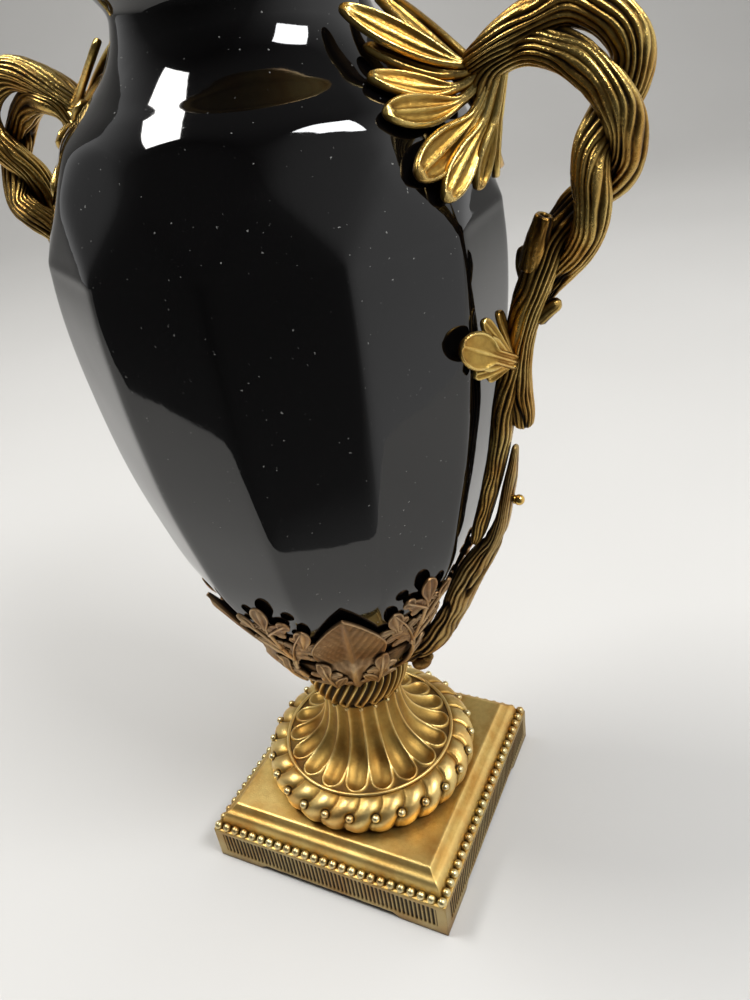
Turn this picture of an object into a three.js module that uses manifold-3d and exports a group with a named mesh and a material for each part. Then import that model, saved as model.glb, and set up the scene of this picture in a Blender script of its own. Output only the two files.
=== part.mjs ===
// A tall faceted ceramic vase in cast bronze mounts: a square plinth, a fluted foot, a twisted collar,
// an openwork leaf cup, two handles of twisted branches and a moulded rim.
// Millimetres, +Z up. The handles lie in the XZ plane. The origin is the middle of the plinth's underside.

import * as THREE from 'three';
import { mergeVertices } from 'three/addons/utils/BufferGeometryUtils.js';
import Module from 'manifold-3d';

const wasm = await Module();
wasm.setup();

// Driving dimensions, millimetres.

const PLINTH_HALF = 70;
const PLINTH_TOP = 23.2;
const PANEL_DEPTH = 0.8;
const PANEL_INSET = 7;
const PANEL_BOTTOM = 7;
const PANEL_HEIGHT = 11.5;
const APRON_HEIGHT = 3;
const APRON_HALF = 43;
const APRON_SLANT = 4;
const RISER_HALF = 64.4;
const RISER_TOP = 30.6;
const PLATFORM_HALF = 58.2;
const PLATFORM_TOP = 35.7;
const BEAD_RADIUS = 2.5;
const BEADS_PER_SIDE = 24;

const LOBES = 26;
const LOBE_DEPTH = 1.5;
const PEARL_RADIUS = 2.0;
const PEARL_RING = 55.4;
const PEARL_HEIGHT = 49.6;
const FLUTES = 18;
const FLUTE_DEPTH = 1.7;
const FLUTE_TURN = -4.5;
const SOCLE_TOP = 93;

const STRANDS = 36;
const STRAND_DEPTH = 1.1;
const STRAND_SLANT = 0.22;
const COLLAR_TOP = 115.5;

const FACETS = 12;
const WALL = 5;
const BODY_FOOT = 126;
const BODY_FOOT_RADIUS = 26;
const EQUATOR = 341.5;
const KITE_SIDE = 364.6;
const KITE_TOP = 380;
const NECK_TOP = 421.5;
const RIM_TOP = 446;

const CUP_GAP = 0.5;
const BRANCH_SIDES = 6;

// Height and radius of the turned form that the facets are cut from, through the ridges.
const BODY_PROFILE = [
  [BODY_FOOT, BODY_FOOT_RADIUS], [133, 33], [143.5, 41], [154, 48], [175, 59.5], [196, 69], [224, 76.8],
  [252, 82.9], [280, 86.6], [308, 88.8], [324, 89.1], [EQUATOR, 88], [350, 84.9], [KITE_SIDE, 80.2],
  [371, 77], [KITE_TOP, 71.4], [385.5, 65.6], [392, 57.6], [399, 51], [405, 47.4], [411, 45.2], [416, 44.8], [NECK_TOP, 48.2],
];

const radians = THREE.MathUtils.degToRad;

// Closed meshes joined and cut.

function toSolid(geometry) {
  const bare = geometry.clone();
  bare.deleteAttribute('normal');
  bare.deleteAttribute('uv');
  const merged = mergeVertices(bare, 1e-5);
  const mesh = new wasm.Mesh({
    numProp: 3,
    vertProperties: new Float32Array(merged.attributes.position.array),
    triVerts: new Uint32Array(merged.index.array),
  });
  return new wasm.Manifold(mesh);
}

function toGeometry(solid) {
  const mesh = solid.getMesh();
  const geometry = new THREE.BufferGeometry();
  geometry.setAttribute('position', new THREE.BufferAttribute(new Float32Array(mesh.vertProperties), 3));
  geometry.setIndex(new THREE.BufferAttribute(new Uint32Array(mesh.triVerts), 1));
  return geometry;
}

function union(geometries) {
  return geometries.map(toSolid).reduce((whole, piece) => whole.add(piece));
}

// Faces pointing out: a mesh whose volume comes out negative is turned over.
function facingOut(geometry) {
  const p = geometry.attributes.position;
  const index = geometry.index.array;
  const [a, b, c] = [new THREE.Vector3(), new THREE.Vector3(), new THREE.Vector3()];
  let volume = 0;
  for (let i = 0; i < index.length; i += 3) {
    a.fromBufferAttribute(p, index[i]);
    b.fromBufferAttribute(p, index[i + 1]);
    c.fromBufferAttribute(p, index[i + 2]);
    volume += a.dot(b.cross(c));
  }
  if (volume < 0) {
    for (let i = 0; i < index.length; i += 3) {
      [index[i], index[i + 1]] = [index[i + 1], index[i]];
    }
  }
  return geometry;
}

// Skin through a row of rings. A ring is a list of points, or one point at an end that closes there.
// swapDiagonal(ring, column) chooses how each four-sided patch is split.
function loft(rings, { closed = false, swapDiagonal = () => false } = {}) {
  const positions = [];
  const starts = [];
  for (const ring of rings) {
    starts.push(positions.length / 3);
    for (const point of ring) {
      positions.push(point.x, point.y, point.z);
    }
  }
  const index = [];
  const count = closed ? rings.length : rings.length - 1;
  for (let i = 0; i < count; i++) {
    const [low, high] = [rings[i], rings[(i + 1) % rings.length]];
    const [a, b] = [starts[i], starts[(i + 1) % rings.length]];
    const n = Math.max(low.length, high.length);
    for (let j = 0; j < n; j++) {
      const k = (j + 1) % n;
      if (low.length === 1) {
        index.push(a, b + k, b + j);
      } else if (high.length === 1) {
        index.push(a + j, a + k, b);
      } else if (swapDiagonal(i, j)) {
        index.push(a + j, a + k, b + j, a + k, b + k, b + j);
      } else {
        index.push(a + j, a + k, b + k, a + j, b + k, b + j);
      }
    }
  }
  const geometry = new THREE.BufferGeometry();
  geometry.setAttribute('position', new THREE.Float32BufferAttribute(positions, 3));
  geometry.setIndex(index);
  return facingOut(geometry);
}

// One ring about the Z axis, with a radius and height for each column. shift turns it by so many columns.
function turnedRing(columns, radiusAt, heightAt, shift = 0) {
  return Array.from({ length: columns }, (_, j) => {
    const angle = (2 * Math.PI * (j + shift)) / columns;
    const radius = radiusAt(j);
    return new THREE.Vector3(radius * Math.cos(angle), radius * Math.sin(angle), heightAt(j));
  });
}

const axisPoint = (z) => [new THREE.Vector3(0, 0, z)];

// Smooth curve through the body's profile points: cubic pieces with averaged slopes.
function bodyRadius(z) {
  const points = BODY_PROFILE;
  const last = points.length - 2;
  const slopeOf = (i) => (points[i + 1][1] - points[i][1]) / (points[i + 1][0] - points[i][0]);
  const tangent = (i) => (slopeOf(Math.max(i - 1, 0)) + slopeOf(Math.min(i, last))) / 2;
  const at = points.findIndex((point) => point[0] > z);
  const i = at < 0 ? last : Math.max(at - 1, 0);
  const [[z0, r0], [z1, r1]] = [points[i], points[i + 1]];
  const h = z1 - z0;
  const t = (z - z0) / h;
  const rest = 1 - t;
  return r0 * rest * rest * (1 + 2 * t) + r1 * t * t * (3 - 2 * t)
    + h * t * rest * (tangent(i) * rest - tangent(i + 1) * t);
}

// The body's surface as a place to lay leaves on: a point, the way out and the two ways along it.
function onBody(angle, z, lift) {
  const slope = (bodyRadius(z + 0.5) - bodyRadius(z - 0.5)) / 1;
  const turn = radians(angle);
  const outward = new THREE.Vector3(Math.cos(turn), Math.sin(turn), 0);
  const normal = outward.clone().setZ(-slope).normalize();
  const point = outward.clone().multiplyScalar(bodyRadius(z)).setZ(z).addScaledVector(normal, lift);
  return { point, normal };
}

// Plinth: a square block on four corner feet, with sunk side panels, a ledge of beads and a platform.

function squareRing(half, z) {
  return [[1, 1], [-1, 1], [-1, -1], [1, -1]].map(([x, y]) => new THREE.Vector3(x * half, y * half, z));
}

function block(x, y, z, width, depth, height) {
  const geometry = new THREE.BoxGeometry(width, depth, height);
  geometry.translate(x, y, z + height / 2);
  return geometry;
}

function apronCut() {
  const shape = new THREE.Shape();
  shape.moveTo(-APRON_HALF, -1);
  shape.lineTo(APRON_HALF, -1);
  shape.lineTo(APRON_HALF - APRON_SLANT, APRON_HEIGHT);
  shape.lineTo(-APRON_HALF + APRON_SLANT, APRON_HEIGHT);
  shape.closePath();
  const geometry = new THREE.ExtrudeGeometry(shape, { depth: 3 * PLINTH_HALF, bevelEnabled: false });
  geometry.translate(0, 0, -1.5 * PLINTH_HALF);
  return geometry.rotateX(Math.PI / 2);
}

// A low dome that bites into what it stands on.
function bead(x, y, z, radius, sides) {
  const level = (share, height) => Array.from({ length: sides }, (_, i) => {
    const angle = (2 * Math.PI * (i + 0.5)) / sides;
    const reach = radius * share;
    return new THREE.Vector3(reach * Math.cos(angle), reach * Math.sin(angle), height * radius);
  });
  const [below, top] = [-0.6, 1].map((height) => [new THREE.Vector3(0, 0, height * radius)]);
  return loft([below, level(1, -0.1), top]).translate(x, y, z);
}

function plinthBeads() {
  const inset = PLINTH_HALF - BEAD_RADIUS - 0.1;
  const pitch = (2 * inset) / BEADS_PER_SIDE;
  const beads = [];
  for (let i = 0; i < BEADS_PER_SIDE; i++) {
    const along = -inset + i * pitch;
    beads.push([along, -inset], [inset, along], [-along, inset], [-inset, -along]);
  }
  return beads.map(([x, y]) => bead(x, y, PLINTH_TOP, BEAD_RADIUS, 4));
}

function plinth() {
  const body = loft([
    [new THREE.Vector3(0, 0, 0)],
    squareRing(PLINTH_HALF, 0),
    squareRing(PLINTH_HALF, PLINTH_TOP),
    squareRing(RISER_HALF, PLINTH_TOP),
    squareRing(RISER_HALF, RISER_TOP - 1.6),
    squareRing(RISER_HALF + 1, RISER_TOP),
    squareRing(PLATFORM_HALF + 2, PLATFORM_TOP - 1.8),
    squareRing(PLATFORM_HALF, PLATFORM_TOP),
    axisPoint(PLATFORM_TOP),
  ]);
  let solid = toSolid(body).subtract(toSolid(apronCut())).subtract(toSolid(apronCut().rotateZ(Math.PI / 2)));
  const panel = 2 * (PLINTH_HALF - PANEL_INSET);
  const away = PLINTH_HALF - PANEL_DEPTH + 5;
  for (const side of [-1, 1]) {
    solid = solid.subtract(toSolid(block(0, side * away, PANEL_BOTTOM, panel, 10, PANEL_HEIGHT)));
    solid = solid.subtract(toSolid(block(side * away, 0, PANEL_BOTTOM, 10, panel, PANEL_HEIGHT)));
  }
  for (const one of plinthBeads()) {
    solid = solid.add(toSolid(one));
  }
  return toGeometry(solid);
}

// Socle: a ring of slanted lobes with a pearl on each, and a trumpet with round-ended flutes.

function lobeRing() {
  const profile = [[52.5, PLATFORM_TOP], [56.6, 40.5], [57.2, 47.5], [53.4, 53.2], [47.6, 55.2]];
  const rows = profile.map(([radius, z], row) => {
    const slant = 0.42 * (row - 2.35);
    const swell = LOBE_DEPTH * Math.sin((Math.PI * row) / (profile.length - 1));
    return turnedRing(2 * LOBES, (j) => radius + swell * Math.cos(Math.PI * j), () => z, slant);
  });
  return loft([axisPoint(PLATFORM_TOP), ...rows, axisPoint(55.2)]);
}

function pearls() {
  return Array.from({ length: LOBES }, (_, i) => {
    const angle = (2 * Math.PI * (i + 0.5)) / LOBES;
    const pearl = bead(0, 0, 0, PEARL_RADIUS * 1.3, 3);
    pearl.rotateY(radians(62));
    pearl.translate(PEARL_RING, 0, PEARL_HEIGHT);
    return pearl.rotateZ(angle);
  });
}

function trumpet() {
  const profile = [[46.8, 56, 0], [42.6, 56.8, 0.7], [35, 59.3, 1], [27.6, 64.5, 1], [22.2, 74.5, 0.8],
    [20.3, SOCLE_TOP, 0.4]];
  const sunk = (j, share) => (j % 2 === 0 ? 0 : 0.7 * FLUTE_DEPTH * share);
  const rows = profile.map(([radius, z, share]) => turnedRing(
    2 * FLUTES,
    (j) => radius - sunk(j, share),
    (j) => (z === SOCLE_TOP ? z : z - sunk(j, share)),
  ));
  const foot = turnedRing(2 * FLUTES, () => 46.8, () => 54);
  return loft([axisPoint(54), foot, ...rows, axisPoint(SOCLE_TOP)]).rotateZ(radians(FLUTE_TURN));
}

function socle() {
  return toGeometry(union([lobeRing(), trumpet(), ...pearls()]));
}

// Collar: a band of slanted strands between the foot and the leaf cup.

function twistedCollar() {
  const profile = [[21.5, SOCLE_TOP, 0], [26.2, 102.5, 1], [26.6, COLLAR_TOP, 0.3]];
  const rows = profile.map(([radius, z, share]) => turnedRing(
    2 * STRANDS,
    (j) => radius + share * STRAND_DEPTH * Math.cos(Math.PI * j),
    () => z,
    STRAND_SLANT * (z - SOCLE_TOP),
  ));
  return loft([axisPoint(SOCLE_TOP), ...rows, axisPoint(COLLAR_TOP)]);
}

// Branches: tapered lengths of round section. A row holds x, z, y and the half thickness in and across
// the handle's plane.

function branch(rows, steps, sides = BRANCH_SIDES) {
  const points = rows.map(([x, z, y]) => new THREE.Vector3(x, y, z));
  const path = new THREE.CatmullRomCurve3(points, false, 'centripetal');
  const across = new THREE.Vector3(0, 1, 0);
  const section = (step) => {
    const t = step / steps;
    const place = t * (rows.length - 1);
    const i = Math.min(Math.floor(place), rows.length - 2);
    const thick = THREE.MathUtils.lerp(rows[i][3], rows[i + 1][3], place - i);
    const wide = THREE.MathUtils.lerp(rows[i][4], rows[i + 1][4], place - i);
    const centre = path.getPoint(t);
    const out = new THREE.Vector3().crossVectors(path.getTangent(t), across).normalize();
    return Array.from({ length: sides }, (_, side) => {
      const turn = (2 * Math.PI * (side + 0.5)) / sides;
      const edge = centre.clone().addScaledVector(out, thick * Math.cos(turn));
      return edge.addScaledVector(across, wide * Math.sin(turn));
    });
  };
  const rings = Array.from({ length: steps + 1 }, (_, step) => section(step));
  return loft([[path.getPoint(0)], ...rings, [path.getPoint(1)]]);
}

// Leaves: a keeled blade along a path. place(t) gives the path's point and the way out from the leaf.
// The width shares run along the blade, and sweep carries its edges on towards the tip.

const SPOON = [[0, 0.3], [0.5, 0.8], [0.86, 1]];
const STALKED = [[0.18, 0.35], [0.55, 0.8], [0.87, 1]];
const BLADE = [[0, 0.5], [0.72, 1]];
const SPRAY = [
  [0, 0.22], [0.2, 0.3], [0.32, 0.95], [0.42, 0.4], [0.55, 1], [0.66, 0.25], [0.86, 0.42],
];

function blade(place, { half, keel = 1.6, shares = SPOON, sweep = 0 }) {
  const rings = shares.map(([t, share]) => {
    const { point, normal } = place(t);
    const along = place(t + 0.02).point.sub(place(t - 0.02).point).normalize();
    const side = new THREE.Vector3().crossVectors(normal, along).normalize();
    const edge = point.clone().addScaledVector(along, sweep * half * share);
    return [
      edge.clone().addScaledVector(side, -half * share),
      edge.clone().addScaledVector(side, half * share),
      point.clone().addScaledVector(normal, keel),
    ];
  });
  return loft([[place(shares[0][0] - 0.01).point], ...rings, [place(1).point]]);
}

// A leaf laid along the body from a base to a tip, each given as angle and height.
function leaf({ base, tip, lift, ...look }) {
  const place = (t) => {
    const mix = (pair) => THREE.MathUtils.lerp(pair[0], pair[1], t);
    return onBody(mix([base[0], tip[0]]), mix([base[1], tip[1]]), mix(lift));
  };
  return blade(place, look);
}

// Leaf cup: a bowl that follows the body, two arms, four broad leaves and six sprays between them.

function cupBowl() {
  const outer = [[24.9, COLLAR_TOP], [28.5, 119.2], [38, 130.5], [45.6, 143.6]];
  const inner = [143.6, 134].map((z) => [bodyRadius(z) + CUP_GAP, z]);
  const floor = [[BODY_FOOT_RADIUS + CUP_GAP, BODY_FOOT]];
  const rows = [...outer, ...inner, ...floor].map(([radius, z]) => turnedRing(24, () => radius, () => z));
  return loft([axisPoint(COLLAR_TOP), ...rows, axisPoint(BODY_FOOT)]);
}

function cupArm() {
  const rows = [
    [30, 119.5, 0, 3.2, 6], [37.2, 125, 0, 4.8, 6.5], [45.6, 133.6, 0, 5.8, 6.5], [52.3, 143.4, 0, 6.2, 6.5],
    [58.7, 155.9, 0, 6.2, 6.5], [64.2, 168.9, 0, 6.2, 6.3], [69.9, 181.4, 0, 6, 6], [76.2, 192, 0, 5.1, 5.6],
    [82.5, 203.2, 0, 3.8, 5.2], [86.2, 213, 0, 3, 5], [88.6, 223.5, 0, 2.7, 4.8], [91.2, 236, 0, 2.4, 4.4],
    [93.4, 250, 0, 1.2, 2.4],
  ];
  return branch(rows, 12);
}

function armBud() {
  const bud = new THREE.SphereGeometry(1, 5, 4);
  bud.scale(6.4, 4.2, 4);
  bud.rotateY(radians(-38));
  return bud.translate(39.5, -1, 118.8);
}

function broadLeaf(angle) {
  const shares = [[0, 0.6], [0.42, 1], [0.66, 0.72], [0.88, 0.3]];
  return leaf({ base: [angle, 140], tip: [angle, 192.3], half: 17, lift: [1.2, 0.6], keel: 2, shares });
}

// The stems lean: foot and top are the angles at which a spray starts and ends.
function spray(foot, top) {
  const look = { half: 15, lift: [1.2, 0.6], keel: 1.8, shares: SPRAY, sweep: 0.5 };
  return leaf({ base: [foot, 141], tip: [top, 198], ...look });
}

function sprig(angle) {
  return leaf({ base: [angle, 139], tip: [angle, 154], half: 5.5, lift: [2.2, 2.2], shares: BLADE });
}

function leafCup() {
  const pieces = [cupBowl()];
  for (const angle of [0, 180]) {
    pieces.push(cupArm().rotateZ(radians(angle)), armBud().rotateZ(radians(angle)));
  }
  for (const angle of [60, 120, 240, 300]) {
    pieces.push(broadLeaf(angle), sprig(angle - 17), sprig(angle + 17));
  }
  for (const turn of [0, 180]) {
    for (const [foot, top] of [[24, 28], [-24, -28], [-94, -89]]) {
      pieces.push(spray(turn + foot, turn + top));
    }
  }
  return toGeometry(union(pieces));
}

// Body: a hollow vessel. Odd columns are the ridges, even columns the middles of the facets.

function vaseBody() {
  const columns = 2 * FACETS;
  const flat = Math.cos(Math.PI / FACETS);
  const isRidge = (j) => j % 2 === 1;
  const cutRing = (z) => turnedRing(columns, (j) => bodyRadius(z) * (isRidge(j) ? 1 : flat), () => z);
  const plainRing = (radius, z) => turnedRing(columns, () => radius, () => z);
  const rings = [axisPoint(BODY_FOOT), plainRing(BODY_FOOT_RADIUS, BODY_FOOT)];
  for (const z of [135, 154, 180, 212, 252, 300, EQUATOR]) {
    rings.push(cutRing(z));
  }
  const equatorRing = rings.length - 1;
  const kiteMiddle = (EQUATOR + KITE_TOP) / 2;
  const middleRadius = (bodyRadius(EQUATOR) + bodyRadius(KITE_TOP)) / 2;
  rings.push(turnedRing(
    columns,
    (j) => (isRidge(j) ? middleRadius : bodyRadius(KITE_SIDE)),
    (j) => (isRidge(j) ? kiteMiddle : KITE_SIDE),
  ));
  const shoulder = KITE_TOP + 2;
  rings.push(turnedRing(
    columns,
    (j) => bodyRadius(isRidge(j) ? KITE_TOP : shoulder),
    (j) => (isRidge(j) ? KITE_TOP : shoulder),
  ));
  for (const z of [388.5, 395.5, 403.5, 414, NECK_TOP]) {
    rings.push(plainRing(bodyRadius(z), z));
  }
  rings.push(axisPoint(NECK_TOP));
  const swapDiagonal = (ring, column) => {
    if (ring === equatorRing) {
      return !isRidge(column);
    }
    return ring === equatorRing + 1 && isRidge(column);
  };
  return toGeometry(toSolid(loft(rings, { swapDiagonal })).subtract(toSolid(hollow())));
}

// The room inside, with its own flat sides behind the facets.
function hollow() {
  const ring = (z, level = z) => turnedRing(FACETS, () => bodyRadius(z) - WALL, () => level, 0.5);
  const walls = [160, 205, 270, 335, 374, 392, 406].map((z) => ring(z));
  const floor = turnedRing(FACETS, () => 20, () => 138, 0.5);
  return loft([axisPoint(134), floor, ...walls, ring(NECK_TOP, NECK_TOP + 1), axisPoint(NECK_TOP + 1)]);
}

// Rim: a turned bronze ring on the mouth.

function rimCollar() {
  const profile = [
    [48.5, NECK_TOP], [50.4, 423.9], [48.8, 426.6], [50.8, 432.4], [57.6, 439], [59.8, 442.4], [57.4, RIM_TOP],
    [47.4, 436], [42.8, NECK_TOP],
  ];
  return loft(profile.map(([radius, z]) => turnedRing(24, () => radius, () => z)), { closed: true });
}

// Handle: two twisted branches, the long stem, its stubs, a leaf spray and the fan of leaves.

const UPPER_BRANCH = [
  [83, 387.2, -1, 4, 6.4], [92.6, 392.8, -1, 5.4, 7.6], [104, 398.4, 0, 6.4, 7.5],
  [116, 401.6, 2, 6.8, 6.8], [127, 396.4, 5, 6.6, 6.6], [133, 387.8, 6.4, 6.5, 6.5],
  [132.6, 378.5, 5.4, 6.3, 6.3], [127, 369.5, 2, 6.2, 6.2], [123.4, 361.6, -2.4, 6, 6],
  [123.4, 353, -5.2, 6, 6], [124.4, 345.6, -6.2, 5.8, 5.8], [123.2, 337.6, -5, 5.6, 5.6],
  [119.4, 329.2, -1.4, 5.4, 5.4], [113.4, 321.8, 2.6, 5, 5], [106.4, 313.4, 5, 4, 4],
  [101, 304, 5, 2.6, 3],
];

const LOWER_BRANCH = [
  [86.6, 374, 0, 2.6, 4.6], [87.2, 380.6, 0, 4.2, 6.4], [90.6, 386.4, 0.5, 4.8, 7.2],
  [98, 390.2, 1.5, 5, 7.4], [107, 391.4, -1, 5.8, 7], [119, 386.8, -4.4, 6.2, 6.4],
  [129, 377.6, -6, 6.3, 6.3], [133.6, 368.5, -4, 6.3, 6.3], [133.4, 359.5, 0, 6.2, 6.2],
  [129.8, 351.4, 4.4, 6.2, 6.2], [122.6, 346, 6.4, 6.2, 6.2],
  [115, 340.4, 4.4, 6.2, 6.4], [108.8, 332, 1, 6.2, 6.6], [104.4, 321, -0.5, 6.2, 6.8],
  [100.6, 309, -0.5, 6, 7], [97.4, 298.4, 0, 5.6, 7], [95.6, 287, 0, 5.4, 6.8], [95.6, 274, 0, 5, 6.2],
  [96.6, 264, 0.5, 4.6, 5.4], [97.2, 257.4, 1, 3.4, 4.2],
];

const LONG_STEM = [
  [95.2, 292, -1, 5, 5.6], [92.6, 280, -2, 4.8, 6.4], [90, 266, -2.4, 4.5, 7], [87.2, 248.5, -2.4, 4, 7],
  [83.7, 233.8, -2.4, 3.9, 6.6], [81.1, 224, -2.2, 3.7, 6], [78.2, 214, -2, 3.4, 5.2],
  [75.4, 205, -2, 3, 4], [72.9, 198.4, -2, 1.6, 1.8],
];

const CUT_TWIG = [[101.6, 321, -2.5, 4.4, 4.4], [104.8, 331, -4.6, 4.2, 4], [109, 341.8, -7, 3.4, 3.4]];
const THORN = [[103, 302.5, 0, 3.6, 3.6], [108, 307, 0.5, 3, 3], [112, 309.8, 1, 2.4, 2.4]];
const BROKEN_TWIG = [[102, 312, 3, 3.4, 3], [98, 321, 4, 3.2, 2.8], [97.5, 328.5, 4.5, 2.2, 2.4]];

// Fan of leaves, bundled like a funnel: tips as angle from the handle's plane and height, half width,
// where each springs from the stalk, in degrees round it from its top, and x and z of its bend.
// Each but the top one is doubled by its mirror image.
const FAN_TIPS = [
  [0, 408, 4.8, 0, 80.6, 386.2], [21.9, 406.6, 5, 45, 82.5, 387], [16.2, 395.7, 3.8, 65, 81, 384],
  [24.2, 387.6, 4.8, 85, 79.8, 380], [27, 378.3, 5.4, 105, 80.8, 376], [25, 360.4, 6.2, 125, 85, 371.5],
  [19.1, 351.3, 5.4, 145, 87.5, 369.5], [6.6, 350.3, 4.4, 165, 91, 371],
];
const STALK_UP = new THREE.Vector3(-0.6, 0, 0.8);
const STALK_FEET = [new THREE.Vector3(88, 0, 387), new THREE.Vector3(93, 0, 388)];
const BUNDLE_HALF = 6.5;
// The highest tips stand off the narrow neck, at this radius.
const FAN_CLEAR = 50.5;

// Spray on the stem: one broad lobe and four small ones, on the side away from the fan's crown.
const SPRAY_FOOT = [-4.1, 289.5];
const SPRAY_TIPS = [
  [-20.5, 305, 6.8], [-12.2, 309.3, 3], [-4.5, 308.6, 3], [-16, 291.2, 3], [-10, 285.6, 3],
];

function fanLeaf([angle, z, half, turn, bendX, bendZ], side) {
  const rootNormal = STALK_UP.clone().multiplyScalar(Math.cos(radians(turn)));
  rootNormal.setY(side * Math.sin(radians(turn)));
  const share = turn / 180;
  const start = STALK_FEET[0].clone().lerp(STALK_FEET[1], share).addScaledVector(rootNormal, 2.4);
  const bend = new THREE.Vector3(bendX, side * BUNDLE_HALF * Math.sin(radians(turn)), bendZ);
  const end = onBody(side * angle, z, 2.4 + Math.max(0, FAN_CLEAR - bodyRadius(z)));
  const path = new THREE.CubicBezierCurve3(start, bend, bend, end.point);
  const normalAt = (t) => rootNormal.clone().lerp(end.normal, t).normalize();
  const place = (t) => ({ point: path.getPoint(t), normal: normalAt(t) });
  return blade(place, { half, keel: 2.2, shares: STALKED });
}

function fanLeaves() {
  return FAN_TIPS.flatMap((tip) => (tip[0] === 0 ? [1] : [-1, 1]).map((side) => fanLeaf(tip, side)));
}

function stemLeaves() {
  return SPRAY_TIPS.map(([angle, z, half]) => leaf({
    base: SPRAY_FOOT, tip: [angle, z], half, lift: [8.5, 2.2], keel: 2, shares: BLADE,
  }));
}

function handle() {
  return toGeometry(union([
    branch(UPPER_BRANCH, 16),
    branch(LOWER_BRANCH, 18),
    branch(LONG_STEM, 6),
    branch(CUT_TWIG, 2, 5),
    branch(THORN, 2, 4),
    branch(BROKEN_TWIG, 2, 4),
    ...fanLeaves(),
    ...stemLeaves(),
  ]));
}

// Materials and assembly.

const gilt = (color, roughness) => new THREE.MeshStandardMaterial({ color, roughness, metalness: 1 });
const GLAZE = new THREE.MeshStandardMaterial({ color: 0x050506, roughness: 0.06, metalness: 0 });

function piece(name, geometry, material) {
  const mesh = new THREE.Mesh(geometry, material);
  mesh.name = name;
  return mesh;
}

const vase = new THREE.Group();
vase.name = 'vase';
vase.add(piece('plinth', plinth(), gilt(0xa98c4a, 0.42)));
vase.add(piece('socle', socle(), gilt(0xb08d45, 0.38)));
vase.add(piece('twisted_collar', twistedCollar(), gilt(0x9a7a3c, 0.42)));
vase.add(piece('leaf_cup', leafCup(), gilt(0x94734a, 0.5)));
vase.add(piece('vase_body', vaseBody(), GLAZE));
vase.add(piece('rim_collar', rimCollar(), gilt(0xb08d45, 0.35)));

for (const [side, turn] of [['right', 0], ['left', 180]]) {
  const half = new THREE.Group();
  half.rotation.z = radians(turn);
  half.add(piece(`handle_${side}`, handle(), gilt(0x9c7c38, 0.4)));
  const nut = piece(`nut_${side}`, new THREE.SphereGeometry(2.4, 6, 4), gilt(0xc29a45, 0.3));
  nut.position.set(93.9, 0, 223.5);
  half.add(nut);
  vase.add(half);
}

export default vase;
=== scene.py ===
import math

import bpy
import numpy as np
from mathutils import Matrix, Vector


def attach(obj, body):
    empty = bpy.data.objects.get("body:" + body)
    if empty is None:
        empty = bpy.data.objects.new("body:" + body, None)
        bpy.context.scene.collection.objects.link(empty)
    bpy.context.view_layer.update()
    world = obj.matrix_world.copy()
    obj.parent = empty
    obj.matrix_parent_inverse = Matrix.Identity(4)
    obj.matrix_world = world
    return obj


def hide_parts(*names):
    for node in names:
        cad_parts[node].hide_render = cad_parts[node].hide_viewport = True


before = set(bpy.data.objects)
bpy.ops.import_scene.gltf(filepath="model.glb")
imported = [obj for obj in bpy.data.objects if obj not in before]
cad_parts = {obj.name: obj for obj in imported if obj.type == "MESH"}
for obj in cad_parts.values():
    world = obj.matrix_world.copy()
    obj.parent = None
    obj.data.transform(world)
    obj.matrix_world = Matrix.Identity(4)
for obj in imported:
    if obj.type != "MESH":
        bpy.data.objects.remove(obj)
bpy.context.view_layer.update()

# Lengths are millimetres, as on the solids, and are turned into metres when a mesh is made.
# The handles lie in the XZ plane, and the origin is the middle of the plinth's underside.
MM = 0.001

PLINTH_HALF = 70.0
PLINTH_TOP = 23.2
APRON_HEIGHT = 3.0
APRON_HALF = 43.0
APRON_SLANT = 4.0
PANEL_INSET = 5.2
PANEL_LOW, PANEL_HIGH = 5.6, 20.4
PANEL_DEPTH = 0.9
REED_PITCH = 2.4
RISER_HALF = 64.4
RISER_TOP = 30.6
PLATFORM_HALF = 58.2
PLATFORM_TOP = 35.7
BEAD_RADIUS = 2.45
BEADS_PER_SIDE = 24

LOBES = 26
PEARL_RADIUS = 2.15
PEARL_RING, PEARL_HEIGHT = 57.2, 49.8
LOBE_SLANT = 0.35
FLUTES = 18
FLUTE_TURN = math.radians(5.5)
TRUMPET_FOOT = 46.6
FLUTE_END, FLUTE_HALF, WIRE_HALF = 45.2, 5.7, 0.7
SOCLE_TOP = 93.0
TEETH = 18
TOOTH_TURN = math.radians(-4)
TOOTH_TOP = 98.5
STRAND_SLANT = math.radians(1.1)
COLLAR_TOP = 115.5

FACETS = 12
FACET_TURN = 2 * math.pi / FACETS
WALL = 5.0
BODY_FOOT, BODY_FOOT_RADIUS = 126.0, 26.0
EQUATOR, EQUATOR_RADIUS = 341.5, 88.0
KITE_SIDE, KITE_SIDE_RADIUS = 364.6, 80.2
KITE_TOP, KITE_TOP_RADIUS = 380.0, 71.4
NECK_TOP = 421.5
RIM_TOP = 446.0

NUT_MIDDLE, NUT_HEIGHT, NUT_FOOT = 93.9, 223.5, 91.3
NUT_COLLAR = [(0.4, 1.9), (0.9, 2.0), (1.3, 1.8), (1.7, 1.2)]

# Height and radius of the turned form that the facets are cut from, through the ridges.
BODY_PROFILE = [
    (BODY_FOOT, BODY_FOOT_RADIUS), (133, 33), (143.5, 41), (154, 48), (175, 59.5), (196, 69), (224, 76.8),
    (252, 82.9), (280, 86.6), (308, 88.8), (324, 89.1), (EQUATOR, EQUATOR_RADIUS), (350, 84.9),
    (KITE_SIDE, KITE_SIDE_RADIUS), (371, 77), (KITE_TOP, KITE_TOP_RADIUS), (385.5, 65.6), (392, 57.6),
    (399, 51), (405, 47.4), (411, 45.2), (416, 44.8), (NECK_TOP, 48.2),
]
BELLY_PROFILE = [place for place in BODY_PROFILE if place[0] <= EQUATOR]


# Curves.

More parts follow.
